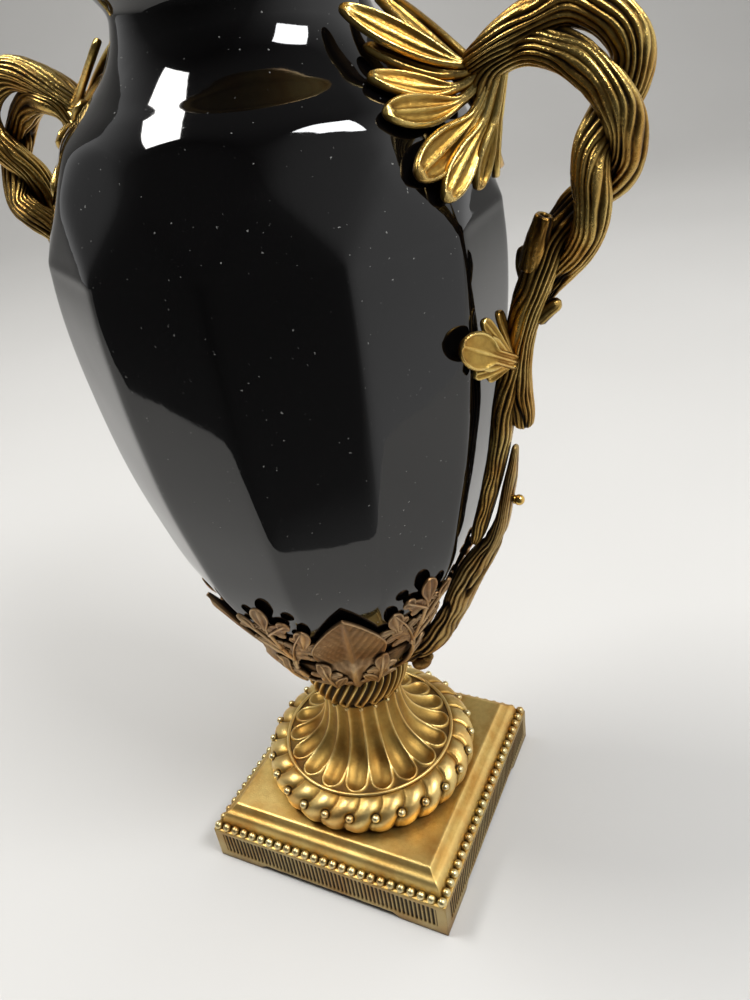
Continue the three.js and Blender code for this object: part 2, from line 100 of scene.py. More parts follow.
def smooth_curve(places):
    """A function through (position, value) places: cubic pieces with averaged slopes."""
    x, y = np.array(places, float).T
    slopes = np.diff(y) / np.diff(x)
    tangents = np.concatenate([slopes[:1], (slopes[1:] + slopes[:-1]) / 2, slopes[-1:]])

    def value(at):
        at = np.asarray(at, float)
        i = np.clip(np.searchsorted(x, at, side="right") - 1, 0, len(x) - 2)
        span = x[i + 1] - x[i]
        t = (at - x[i]) / span
        rest = 1 - t
        return (y[i] * rest * rest * (1 + 2 * t) + y[i + 1] * t * t * (3 - 2 * t)
                + span * t * rest * (tangents[i] * rest - tangents[i + 1] * t))

    return value


body_radius = smooth_curve(BODY_PROFILE)
belly_radius = smooth_curve(BELLY_PROFILE)


def smooth_path(points, steps):
    """Rows of numbers run through by a centripetal curve over their first three columns."""
    rows = np.array(points, float)
    padded = np.vstack([2 * rows[0] - rows[1], rows, 2 * rows[-1] - rows[-2]])
    gaps = np.maximum(np.linalg.norm(np.diff(padded[:, :3], axis=0), axis=1), 1e-6) ** 0.5
    knots = np.concatenate([[0], np.cumsum(gaps)])
    lengths = np.linalg.norm(np.diff(rows[:, :3], axis=0), axis=1)
    along = np.concatenate([[0], np.cumsum(lengths)])
    at = np.linspace(0, along[-1], steps)
    out = []
    for distance in at:
        i = min(int(np.searchsorted(along, distance, side="right")) - 1, len(rows) - 2)
        share = (distance - along[i]) / lengths[i]
        k = knots[i:i + 4]
        p = padded[i:i + 4]
        u = k[1] + share * (k[2] - k[1])
        a = [((k[j + 1] - u) * p[j] + (u - k[j]) * p[j + 1]) / (k[j + 1] - k[j]) for j in range(3)]
        b = [((k[j + 2] - u) * a[j] + (u - k[j]) * a[j + 1]) / (k[j + 2] - k[j]) for j in range(2)]
        out.append(((k[2] - u) * b[0] + (u - k[1]) * b[1]) / (k[2] - k[1]))
    return np.array(out), at


def smoothstep(low, high, x):
    t = np.clip((x - low) / (high - low), 0, 1)
    return t * t * (3 - 2 * t)


def bump(x, width):
    return np.exp(-(x / width) ** 2)


def soft_min(values, softness):
    """The least of several surfaces, with its creases rounded."""
    least = np.min(values, axis=0)
    total = sum(np.exp(-(value - least) / softness) for value in values)
    return least - softness * np.log(total)


def noise(x, y, seed, wrap_y=None):
    """Smooth lattice noise from 0 to 1. Where wrap_y is given, y repeats after that many cells."""
    lattice = np.random.RandomState(seed).rand(97, wrap_y or 89)
    x0, y0 = np.floor(x).astype(int), np.floor(y).astype(int)
    fx, fy = x - x0, y - y0
    fx, fy = fx * fx * (3 - 2 * fx), fy * fy * (3 - 2 * fy)
    rows, cols = lattice.shape

    def corner(i, j):
        return lattice[(x0 + i) % rows, (y0 + j) % cols]

    return ((corner(0, 0) * (1 - fy) + corner(0, 1) * fy) * (1 - fx)
            + (corner(1, 0) * (1 - fy) + corner(1, 1) * fy) * fx)


# Meshes.

def spin(angle):
    """The turn about the Z axis, as a matrix."""
    c, s = math.cos(angle), math.sin(angle)
    return np.array([[c, -s, 0], [s, c, 0], [0, 0, 1]])


class Skin:
    """Grids of points gathered into one mesh. Each point has a height from 0 in a groove to 1 on a crest,
    from which the gildings paint shade into the grooves and light onto the crests.
    """

    def __init__(self):
        self.points, self.heights, self.quads, self.tris, self.finish = [], [], [], [], []
        self.count = 0

    def grid(self, points, heights=1.0, wrap=False, flip=False, finish=0, close_start=False, close_end=False):
        rows, cols = points.shape[:2]
        ids = self.count + np.arange(rows * cols).reshape(rows, cols)
        here = ids if wrap else ids[:, :-1]
        beside = np.roll(ids, -1, axis=1) if wrap else ids[:, 1:]
        quads = np.stack([here[:-1], beside[:-1], beside[1:], here[1:]], axis=-1).reshape(-1, 4)
        self.quads.append(quads[:, ::-1] if flip else quads)
        self.finish.append(np.full(len(quads), finish))
        self.points.append(points.reshape(-1, 3))
        self.heights.append(np.broadcast_to(heights, (rows, cols)).reshape(-1))
        self.count += rows * cols
        for wanted, row, inward in ((close_start, 0, True), (close_end, rows - 1, False)):
            if wanted:
                self.cap(ids[row], points[row].mean(axis=0), inward != flip, finish)

    def cap(self, ring, centre, backwards, finish):
        middle = self.count
        self.points.append(centre[None, :])
        self.heights.append(np.array([0.5]))
        self.count += 1
        after = np.roll(ring, -1)
        fan = np.stack([ring, after, np.full(len(ring), middle)], axis=-1)
        self.tris.append((fan[:, ::-1] if backwards else fan, finish))

    def turned(self, angle):
        """A copy turned about the Z axis."""
        copy = Skin()
        copy.points = [p @ spin(angle).T for p in self.points]
        copy.heights, copy.quads, copy.tris = list(self.heights), list(self.quads), list(self.tris)
        copy.finish, copy.count = list(self.finish), self.count
        return copy

    def join(self, other):
        """Take in another skin's parts."""
        self.points += other.points
        self.heights += other.heights
        self.quads += [quads + self.count for quads in other.quads]
        self.tris += [(fan + self.count, kind) for fan, kind in other.tris]
        self.finish += other.finish
        self.count += other.count

    def make(self, name, materials, sharp=None):
        mesh = bpy.data.meshes.new(name)
        points = np.vstack(self.points) * MM
        faces = np.vstack(self.quads).tolist()
        finish = np.concatenate(self.finish).tolist()
        for fan, kind in self.tris:
            faces.extend(fan.tolist())
            finish.extend([kind] * len(fan))
        mesh.from_pydata(points.tolist(), [], faces)
        layer = mesh.attributes.new("relief", "FLOAT", "POINT")
        layer.data.foreach_set("value", np.clip(np.concatenate(self.heights), 0, 1).astype(np.float32))
        for material in materials:
            mesh.materials.append(material)
        mesh.polygons.foreach_set("material_index", finish)
        mesh.polygons.foreach_set("use_smooth", [True] * len(faces))
        mesh.validate()
        mesh.update()
        if sharp:
            mesh.set_sharp_from_angle(angle=math.radians(sharp))
        thing = bpy.data.objects.new(name, mesh)
        bpy.context.scene.collection.objects.link(thing)
        return thing


def turned_grid(angles, radii, heights):
    """Points about the Z axis. radii and heights are rows x columns, or one column."""
    radii = np.broadcast_to(radii, (len(radii), len(angles)))
    heights = np.broadcast_to(heights, radii.shape)
    return np.stack([radii * np.cos(angles), radii * np.sin(angles), heights], axis=-1)


def full_circle(count):
    return np.arange(count) * (2 * math.pi / count)


def resample(profile, count):
    """Evenly spaced places along a smooth profile of (radius, z) places, as two columns."""
    rows, _ = smooth_path([(r, 0, z) for r, z in profile], count)
    return rows[:, :1], rows[:, 2:3]


def profile_frame(radius, z):
    """Lengths along a profile and its normal's part outwards and up, as columns."""
    dr, dz = np.gradient(radius, axis=0), np.gradient(z, axis=0)
    size = np.hypot(dr, dz)
    steps = np.hypot(np.diff(radius, axis=0), np.diff(z, axis=0))
    return np.concatenate([[[0]], np.cumsum(steps, axis=0)]), dz / size, -dr / size


def ball(skin, centre, radius, columns=16, rows=9, finish=0, pole=(0, 0, 1), squash=1.0, relief=0.9):
    """A round bead with its poles along a given direction."""
    across = np.linspace(0.02, math.pi - 0.02, rows)[:, None]
    around = full_circle(columns)
    shape = np.stack([np.sin(across) * np.cos(around), np.sin(across) * np.sin(around),
                      squash * np.cos(across) * np.ones_like(around)], axis=-1) * radius
    turn = np.array(Vector(pole).to_track_quat("Z", "Y").to_matrix())
    skin.grid(shape @ turn.T + np.array(centre), relief, wrap=True, flip=True, finish=finish,
              close_start=True, close_end=True)


# The ceramic body.

def body_surface(angle, z):
    """Radius of the faceted form at angles and heights: cut planes met by the turned shoulder."""
    flat = math.cos(FACET_TURN / 2)
    lean = float(belly_radius(EQUATOR) - belly_radius(EQUATOR - 4)) / 4
    over = EQUATOR_RADIUS + lean * (z - EQUATOR)
    belly = np.where(z <= EQUATOR, belly_radius(np.minimum(z, EQUATOR)), over) * flat
    middle = EQUATOR_RADIUS * flat
    triangle = middle + (KITE_SIDE_RADIUS - middle) * (z - EQUATOR) / (KITE_SIDE - EQUATOR)
    kite = EQUATOR_RADIUS + (KITE_TOP_RADIUS - EQUATOR_RADIUS) * (z - EQUATOR) / (KITE_TOP - EQUATOR)
    off_facet = (angle + FACET_TURN / 2) % FACET_TURN - FACET_TURN / 2
    off_ridge = angle % FACET_TURN - FACET_TURN / 2
    side = soft_min([belly, triangle], 0.3)
    facets = [side / np.cos(off_facet), side / np.cos(FACET_TURN - np.abs(off_facet))]
    kites = [kite / np.cos(off_ridge), kite / np.cos(FACET_TURN - np.abs(off_ridge))]
    shoulder = body_radius(z) + 6 * smoothstep(KITE_SIDE, EQUATOR, z) + 0 * angle
    return soft_min(facets + kites + [shoulder], 0.5) + 0.3 + 0.22 * bump(z - EQUATOR, 2.4)


def vase_body(material):
    skin = Skin()
    per_facet = 18
    sweep = np.sin(np.linspace(-1, 1, per_facet, endpoint=False) * math.pi / 2)
    angles = np.concatenate([k * FACET_TURN + sweep * FACET_TURN / 2 for k in range(FACETS)])
    rows = [np.linspace(BODY_FOOT, 330, 88, endpoint=False), np.linspace(330, 352, 32, endpoint=False),
            np.linspace(352, NECK_TOP, 70)]
    z = np.concatenate(rows)[:, None]
    foot = smoothstep(BODY_FOOT, 150, z)
    radii = body_surface(angles, z) * foot + body_radius(z) * (1 - foot)
    wobble = noise(z / 17, angles * 4 + 3, 5) - 0.5
    outer = turned_grid(angles, radii + 0.12 * wobble * smoothstep(400, 380, z), z)
    inner_z = np.concatenate([np.linspace(NECK_TOP, 150, 44), [140, 136, 134.4]])[:, None]
    inner_r = body_radius(inner_z) * math.cos(FACET_TURN / 2) - WALL
    inner_r[-3:] = [[22], [12], [1]]
    inner = turned_grid(angles, inner_r, inner_z)
    skin.grid(np.concatenate([outer, inner]), 1.0, wrap=True, close_start=True, close_end=True)
    return skin.make("vase_body_visual", [material], sharp=60)


# The plinth.

def square_ring(half, z):
    """A square with small round corners, as a row of points."""
    corner, per_corner = 0.7, 5
    turn = np.linspace(0, math.pi / 2, per_corner)
    points = []
    for quarter in range(4):
        angle = turn + quarter * math.pi / 2
        sx, sy = [(1, 1), (-1, 1), (-1, -1), (1, -1)][quarter]
        x, y = sx * (half - corner) + corner * np.cos(angle), sy * (half - corner) + corner * np.sin(angle)
        points.append(np.stack([x, y, np.full(per_corner, z)], axis=-1))
    return np.vstack(points)


def apron_edge(along):
    """Height of the side's lower edge: feet at the ends and a shallow cut between them."""
    return APRON_HEIGHT * np.clip((APRON_HALF - np.abs(along)) / APRON_SLANT, 0, 1)


def side_relief(along, z):
    """How far the side is sunk in: a panel of upright reeds inside a raised frame."""
    half = PLINTH_HALF - PANEL_INSET
    inside = (smoothstep(half, half - 0.7, np.abs(along)) * smoothstep(PANEL_LOW, PANEL_LOW + 0.7, z)
              * smoothstep(PANEL_HIGH, PANEL_HIGH - 0.7, z))
    reeds = np.abs(np.sin(math.pi * along / REED_PITCH)) ** 1.5
    sunk = PANEL_DEPTH * (1 - 0.72 * reeds)
    wear_and_relief_shade = 0.06 * (noise(along / 3 + 40, z / 2 + 7, 11) - 0.5)
    return inside * sunk + wear_and_relief_shade, 1 - inside * (1 - reeds)


def plinth_side(skin):
    along = np.linspace(-PLINTH_HALF + 0.5, PLINTH_HALF - 0.5, 471)
    share = np.concatenate([[0, 0.04, 0.1, 0.18], np.linspace(0.24, 0.84, 17), [0.9, 0.96, 1.0]])
    low = apron_edge(along)
    z = low + share[:, None] * (PLINTH_TOP - 0.4 - low)
    sunk, relief = side_relief(np.broadcast_to(along, z.shape), z)
    edge = 0.45 * (bump(z - low, 0.35) + bump(z - PLINTH_TOP + 0.4, 0.5))
    side = np.stack([np.broadcast_to(along, z.shape), -PLINTH_HALF + sunk + edge, z], axis=-1)
    for quarter in range(4):
        skin.grid(side @ spin(quarter * math.pi / 2).T, relief, finish=2)


# Half width and height of each edge of the plinth, and the steps from it: outwards, up, and the relief there.
PLINTH_STEPS = [
    (PLINTH_HALF, PLINTH_TOP, [(-0.25, -0.6, 0.9), (-0.9, -0.15, 1), (-4, -0.6, 0.3)]),
    (RISER_HALF, PLINTH_TOP, [(1.7, 0.6, 0.5), (1.5, 2, 0.75), (1.1, 3.6, 0.85)]),
    (RISER_HALF, RISER_TOP, [(0.6, -2, 0.9), (0, -0.6, 1), (-0.7, 0.4, 1), (-1.4, 1, 0.9), (-2.3, 1.4, 0.7),
                             (-3.4, 2, 0.6), (-4.2, 3, 0.65)]),
    (PLATFORM_HALF, PLATFORM_TOP, [(1.1, -1, 0.9), (0.6, -0.3, 1), (0, 0, 1), (-1.2, 0, 0.8), (-20, 0, 0.8),
                                   (-28.2, 0, 0.8)]),
]


def plinth_corner_and_top(skin):
    """The ledge, the riser, the sloping moulding and the platform."""
    places = [(half + out, z + up, height) for half, z, moves in PLINTH_STEPS for out, up, height in moves]
    rings = np.stack([square_ring(half, z) for half, z, height in places])
    skin.grid(rings, np.array(places)[:, 2:], wrap=True, close_end=True)
    under = np.stack([square_ring(half, z) for half, z in [(8, 3), (APRON_HALF - APRON_SLANT, 3)]])
    skin.grid(under, 0.3, wrap=True, close_start=True)


def plinth_feet(skin):
    """The underside: four flat corner feet with the shallow apron cut between them."""
    lines = np.concatenate([[-69.6, -56, -APRON_HALF, -APRON_HALF + APRON_SLANT], np.linspace(-25, 25, 5),
                            [APRON_HALF - APRON_SLANT, APRON_HALF, 56, 69.6]])
    x, y = np.meshgrid(lines, lines)
    z = np.maximum(apron_edge(x), apron_edge(y))
    skin.grid(np.stack([x, y, z], axis=-1), 0.3, flip=True)


def plinth_posts(skin):
    """The upright edges where two sides meet, rounded a little."""
    for quarter in range(4):
        turn = np.linspace(-0.1, math.pi / 2 + 0.1, 7) + (quarter + 3) % 4 * math.pi / 2
        sx, sy = [(1, -1), (1, 1), (-1, 1), (-1, -1)][quarter]
        centre = np.array([sx, sy]) * (PLINTH_HALF - 0.8)
        rows = []
        for z in (0.0, 0.4, PLINTH_TOP - 0.9, PLINTH_TOP - 0.4):
            radius = 0.8 if 0 < z < PLINTH_TOP - 0.5 else 0.5
            rows.append(np.stack([centre[0] + radius * np.cos(turn), centre[1] + radius * np.sin(turn),
                                  np.full(7, z)], axis=-1))
        skin.grid(np.stack(rows), 1.0, finish=2)


def plinth_beads(skin):
    inset = PLINTH_HALF - BEAD_RADIUS - 0.1
    pitch = 2 * inset / BEADS_PER_SIDE
    height = PLINTH_TOP + 0.9
    for i in range(BEADS_PER_SIDE):
        along = -inset + i * pitch
        for x, y in ((along, -inset), (inset, along), (-along, inset), (-inset, -along)):
            ball(skin, (x, y, height), BEAD_RADIUS, columns=14, rows=8, finish=1)


def plinth(*materials):
    skin = Skin()
    plinth_side(skin)
    plinth_corner_and_top(skin)
    plinth_posts(skin)
    plinth_feet(skin)
    plinth_beads(skin)
    return skin.make("plinth_visual", materials, sharp=42)


# The foot.

def lobe_ring(skin):
    """A ring of slanted, rounded lobes below a thin ring, with a round socket for each pearl."""
    profile = [(50, PLATFORM_TOP + 0.1), (53.4, PLATFORM_TOP + 0.2), (55.8, 38.4), (57.6, 42.6), (57.9, 46.6),
               (56.3, 50.6), (53.4, 53.2), (50, 54.6), (47.6, 55.2), (46, 55.3)]
    radius, z = resample(profile, 46)
    along, nr, nz = profile_frame(radius, z)
    share = along / along[-1]
    from_pearl = along - along[np.argmin(np.hypot(radius - PEARL_RING, z - PEARL_HEIGHT))]
    angles = full_circle(LOBES * 18)
    lobe_count = LOBES * angles / (2 * math.pi)
    phase = lobe_count - 0.5 - LOBE_SLANT * np.tanh(from_pearl / 5.5)
    from_seam = (phase + 0.5) % 1 - 0.5
    crest = np.abs(np.sin(math.pi * phase)) ** 0.6
    swell = smoothstep(0.0, 0.2, share) * smoothstep(1.0, 0.84, share)
    lip = bump(from_seam - 0.09, 0.06) * swell
    beside_pearl = (lobe_count % 1 - 0.5) * 2 * math.pi / LOBES * radius
    socket = np.exp(-(np.hypot(beside_pearl, from_pearl) / 2.7) ** 6)
    lift = (swell * 2.5 * (crest - 0.62) + 0.4 * lip) * (1 - socket) - 0.9 * socket
    relief = 0.12 + 0.85 * np.clip(crest * swell + 0.4 * lip + (1 - swell) * 0.45, 0, 1)
    points = turned_grid(angles, radius + nr * lift, z + nz * lift)
    skin.grid(points, relief * (1 - 0.9 * socket), wrap=True)


def pearls(skin):
    for i in range(LOBES):
        angle = 2 * math.pi * (i + 0.5) / LOBES
        out = Vector((math.cos(angle), math.sin(angle), 0.5)).normalized()
        centre = (PEARL_RING * math.cos(angle), PEARL_RING * math.sin(angle), PEARL_HEIGHT)
        ball(skin, centre, PEARL_RADIUS, pole=out, finish=1, relief=1.0)


def flute_relief(x, from_end, pitch):
    """Lift and relief of the trumpet's skin, x mm beside a flute's middle and from_end mm up from its end."""
    half = np.minimum(FLUTE_HALF, pitch / 2)
    round_end = FLUTE_HALF - np.hypot(x, from_end - FLUTE_HALF)
    inside = np.where(from_end < FLUTE_HALF, round_end, half - np.abs(x))
    wire = bump(inside, WIRE_HALF)
    depth = 0.35 + 0.65 * smoothstep(6.6, 11, pitch)
    scoop = np.sin(np.clip((inside - 0.5) / (half - 0.5), 0, 1) * math.pi / 2)
    level = np.where(inside > 0, -1.9 * depth * scoop, -0.55 * smoothstep(0, -0.9, inside))
    between = smoothstep(-0.4, -1.2, inside)
    relief = np.clip(0.55 + 0.5 * wire - 0.16 * scoop * (inside > 0) - 0.4 * between, 0, 1)
    return 0.8 * wire + level, relief


def trumpet(skin):
    """The flared stem with its flutes, and the thin ring that they end on."""
    profile = [(TRUMPET_FOOT, 56.2), (44.5, 56.4), (42, 56.9), (38, 57.9), (33.5, 60), (29, 63.6),
               (25.4, 68.4), (22.8, 74.4), (21.2, 81), (20.4, 87.5), (20.2, SOCLE_TOP)]
    radius, z = resample(profile, 92)
    along, nr, nz = profile_frame(radius, z)
    angles = full_circle(FLUTES * 28)
    turn = 2 * math.pi / FLUTES
    off = (angles - FLUTE_TURN + turn / 2) % turn - turn / 2
    lift, relief = flute_relief(off * radius, along - (TRUMPET_FOOT - FLUTE_END), turn * radius)
    lift = lift * smoothstep(SOCLE_TOP, SOCLE_TOP - 1.5, z)
    skin.grid(turned_grid(angles, radius + nr * lift, z + nz * lift), relief, wrap=True, close_end=True)
    ring = np.array([(TRUMPET_FOOT, 54.6), (47.3, 55.1), (47.8, 55.8), (47.6, 56.6), (47, 57), (46.3, 56.9),
                     (45.8, 56.2)])
    skin.grid(turned_grid(full_circle(208), ring[:, :1], ring[:, 1:]), 1.0, wrap=True)


def socle(material, bead_material):
    skin = Skin()
    lobe_ring(skin)
    pearls(skin)
    trumpet(skin)
    return skin.make("socle_visual", [material, bead_material])


# The twisted collar.

def twisted_collar(material, bead_material):
    """Thin slanted strands. Each two of them meet below in a tooth with a bead at its point."""
    skin = Skin()
    profile = [(20.6, SOCLE_TOP - 0.4), (21.6, 94.4), (23.6, 97.6), (25.4, 101), (26.6, 105.5), (27, 110),
               (26.4, 113.6), (24.8, COLLAR_TOP)]
    radius, z = resample(profile, 44)
    angles = full_circle(TEETH * 28)
    turn = 2 * math.pi / TEETH
    slanted = STRAND_SLANT * np.maximum(z - TOOTH_TOP, 0)
    tooth = ((angles - TOOTH_TURN - slanted) / turn + 0.5) % 1 - 0.5
    apart = 0.25 * smoothstep(SOCLE_TOP + 0.5, TOOTH_TOP, z)
    strand_half = 0.125 + 0.04 * smoothstep(TOOTH_TOP, SOCLE_TOP, z)
    crest = bump(np.abs(tooth) - apart, strand_half)
    share = np.linspace(0, 1, len(radius))[:, None]
    swell = smoothstep(0, 0.05, share) * smoothstep(1.0, 0.93, share)
    lift = swell * (2.5 * crest - 1.5)
    relief = np.clip(crest * 1.25 - 0.15, 0, 1)
    skin.grid(turned_grid(angles, radius + lift, z), relief, wrap=True, close_start=True, close_end=True)
    for i in range(TEETH):
        angle = TOOTH_TURN + i * turn
        ball(skin, (22.0 * math.cos(angle), 22.0 * math.sin(angle), 92.9), 1.15, columns=12, rows=7, finish=1)
    return skin.make("twisted_collar_visual", [material, bead_material])


# Leaves: a blade has a midrib between two hollow halves, inside a rounded rim that runs round its end.

def body_place(angle, z, lift):
    """Point and normal over the body's turned form at an angle in radians and a height."""
    angle, z, lift = np.broadcast_arrays(angle, z, lift)
    slope = body_radius(z + 0.5) - body_radius(z - 0.5)
    length = np.hypot(1, slope)
    normal = np.stack([np.cos(angle) / length, np.sin(angle) / length, -slope / length], axis=-1)
    base = body_radius(z)
    point = np.stack([base * np.cos(angle), base * np.sin(angle), z + 0 * base], axis=-1)
    return point + normal * lift[..., None], normal


def leaf_rows(rows):
    """Places along a leaf from 0 to 1, closer together towards its round end."""
    return np.sin(np.linspace(0, math.pi / 2, rows))


def leaf_face(t, v, length, width, thick=2.0, keel=0.5, keel_half=0.5, cup=0.8, rim=0.4, border=0.8,
              pleats=None):
    """Height and relief of a leaf's face at shares t along and v across it. width is its half width there."""
    t = t[:, None]
    beside = np.abs(v) * width[:, None]
    from_edge = np.minimum(width[:, None] * (1 - np.abs(v)), (1 - t) * length)
    edge = np.sqrt(np.clip(1 - np.clip(1 - from_edge / (thick * 0.6), 0, 1) ** 2, 0, 1))
    ridge = bump(beside, keel_half * (1.15 - 0.75 * t)) * smoothstep(1.0, 0.9, t)
    lip = bump(from_edge - border, border * 0.8)
    dish = smoothstep(border, border * 3, from_edge) * smoothstep(0.3 * keel_half, 2.5 * keel_half, beside)
    top = thick / 2 * edge + keel * ridge + rim * lip - cup * dish
    relief = 0.5 + 0.45 * ridge + 0.45 * lip - 0.22 * dish
    if pleats:
        pitch, slope, height = pleats
        line = 1 - np.abs(np.sin(math.pi * (t * length - slope * beside ** 1.15) / pitch)) ** 0.7
        shown = line * smoothstep(0.4, 1.6, from_edge) * smoothstep(1.0, 3.0, beside)
        top, relief = top + height * shown, relief + 0.5 * shown - 0.15
    return top, np.clip(relief, 0, 1)


def leaf_section(t, columns, length, width, thick, taper=None, **look):
    """Places across a leaf, heights and relief, once round its section. taper rounds off its back."""
    v = np.sin(np.linspace(-1, 1, 2 * columns + 1) * math.pi / 2)
    top, relief = leaf_face(t, v, length, width, thick=thick, **look)
    back = v[-2:0:-1]
    low = np.full((len(t), len(back)), -thick / 2)
    if taper is not None:
        low = low * np.sqrt(np.clip(1 - np.abs(back) ** 4, 0, 1)) * taper[:, None]
    across = np.concatenate([v, back]) * width[:, None]
    height = np.concatenate([top, low], axis=1)
    return across, height, np.concatenate([relief, np.full_like(low, 0.1)], axis=1)


def blade(skin, centres, normals, t, half, shares, columns=8, finish=0, thick=2.0, **look):
    """A leaf along a path in space. half is the greatest half width, shares its share along the leaf."""
    steps = np.diff(centres, axis=0)
    length = np.linalg.norm(steps, axis=1).sum()
    along = np.gradient(centres, axis=0)
    along /= np.linalg.norm(along, axis=1, keepdims=True)
    sides = np.cross(normals, along)
    sides /= np.linalg.norm(sides, axis=1, keepdims=True)
    ups = np.cross(along, sides)
    taper = smoothstep(0, 0.3, shares)
    across, height, relief = leaf_section(t, columns, length, half * shares, thick, taper, **look)
    points = centres[:, None, :] + sides[:, None, :] * across[..., None] + ups[:, None, :] * height[..., None]
    skin.grid(points, relief, wrap=True, flip=True, finish=finish, close_start=True, close_end=True)


def laid_blade(skin, places, t, half, shares, lift, columns=6, finish=0, thick=1.2, **look):
    """A leaf that follows the faceted body. places are its middle's angles in radians and heights."""
    angle, z = places.T
    radius = body_radius(z)
    stretch = np.hypot(1, body_radius(z + 0.5) - body_radius(z - 0.5))
    over, up = np.gradient(angle) * radius, np.gradient(z) * stretch
    size = np.hypot(over, up)
    length = size.sum()
    across, height, relief = leaf_section(t, columns, length, half * shares, thick, **look)
    height = height + np.broadcast_to(lift, t.shape)[:, None]
    at_angle = angle[:, None] + across * (up / size / radius)[:, None]
    at_z = z[:, None] - across * (over / size / stretch)[:, None]
    _, normal = body_place(at_angle, at_z, 0.0)
    base = cup_surface(at_angle, at_z)
    points = np.stack([base * np.cos(at_angle), base * np.sin(at_angle), at_z], axis=-1)
    points = points + normal * height[..., None]
    skin.grid(points, relief, wrap=True, finish=finish, close_start=True, close_end=True)


def spoon(t, neck=0.3, broad=0.72):
    """Half width of a spoon-shaped leaf: narrow at its foot, rounded at its end."""
    body = neck + (1 - neck) * smoothstep(0.05, broad, t)
    end = np.sqrt(np.clip(1 - np.clip((t - broad) / (1 - broad), 0, 1) ** 2.2, 0, 1))
    return np.maximum(body * end, 0.02)


# Bark: a branch's skin, ridged along its length.

def bark(s, turn, seed, ridges, twist):
    """Depth below the crests and relief, at lengths s (rows) and angles turn (columns)."""
    s, share = s[:, None], turn / (2 * math.pi)
    wander = 1.9 * (noise(s / 26, share * 5, seed, 5) - 0.5)
    wander = wander + 0.8 * (noise(s / 9, share * 9, seed + 1, 9) - 0.5)
    phase = ridges * (share + twist * s) + wander
    crest = np.abs(np.sin(math.pi * phase)) ** 0.62
    cut = 0.35 + 0.95 * noise(s / 20, share * ridges, seed + 2, ridges)
    split_at = noise(s / 40, share * 6 + 0.15 * wander, seed + 3, 6) - 0.5
    split = bump(split_at, 0.045) * smoothstep(0.35, 0.6, noise(s / 30, share * 4, seed + 4, 4))
    swell = noise(s / 14, share * 4, seed + 5, 4) - 0.5
    rough = noise(s / 1.6, share * 40, seed + 6, 40) - 0.5
    depth = cut * (1 - crest) + 1.3 * split - 0.5 * swell + 0.07 * rough
    return depth, np.clip(1 - 0.95 * cut * (1 - crest) - 0.8 * split + 0.25 * swell, 0, 1)


def rounded_off(distance):
    """Share of the full thickness at a share of the way into a branch's round end."""
    return np.sqrt(np.clip(1 - np.clip(1 - distance, 0, 1) ** 2, 0.02, 1))[:, None]


def branch(skin, rows, seed, spacing=1.05, columns=112, ridges=17, depth=1.35, twist=0.0, finish=0,
           hollow=False):
    """rows hold x, z, y and the half thickness in and across the handle's plane, as on the solid."""
    places = [(x, y, z, thick, wide) for x, z, y, thick, wide in rows]
    length = sum(math.dist(a[:3], b[:3]) for a, b in zip(places, places[1:]))
    path, s = smooth_path(places, max(int(length / spacing), 6))
    centre = path[:, :3]
    along = np.gradient(centre, axis=0)
    along /= np.linalg.norm(along, axis=1, keepdims=True)
    across = np.array([0.0, 1.0, 0.0])
    out = np.cross(along, across)
    out /= np.linalg.norm(out, axis=1, keepdims=True)
    turn = full_circle(columns)
    groove, relief = bark(s, turn, seed, ridges, twist)
    scale = np.clip(path[:, 3:4] / 5.5, 0.3, 1)
    sink = depth * scale * (groove - 0.2)
    tail = rounded_off((s[-1] - s) / (0.8 if hollow else 2.4))
    if hollow:
        tail = np.maximum(tail, 0.85)
    ends = rounded_off(s / 2.0) * tail
    thick, wide = (path[:, 3:4] - sink) * ends, (path[:, 4:5] - sink) * ends
    points = (centre[:, None, :] + out[:, None, :] * (thick * np.cos(turn))[..., None]
              + across * (wide * np.sin(turn))[..., None])
    if hollow:
        lip = points[-1] - centre[-1]
        inner = [(0.66, 0.1), (0.55, 1.6), (0.3, 2.0)]
        rings = [centre[-1] + share * lip - deep * along[-1] for share, deep in inner]
        points = np.concatenate([points, rings])
        relief = np.concatenate([relief, np.broadcast_to([[0.9], [0.1], [0.0]], (3, columns))])
    skin.grid(points, relief, wrap=True, flip=True, finish=finish, close_start=True, close_end=True)


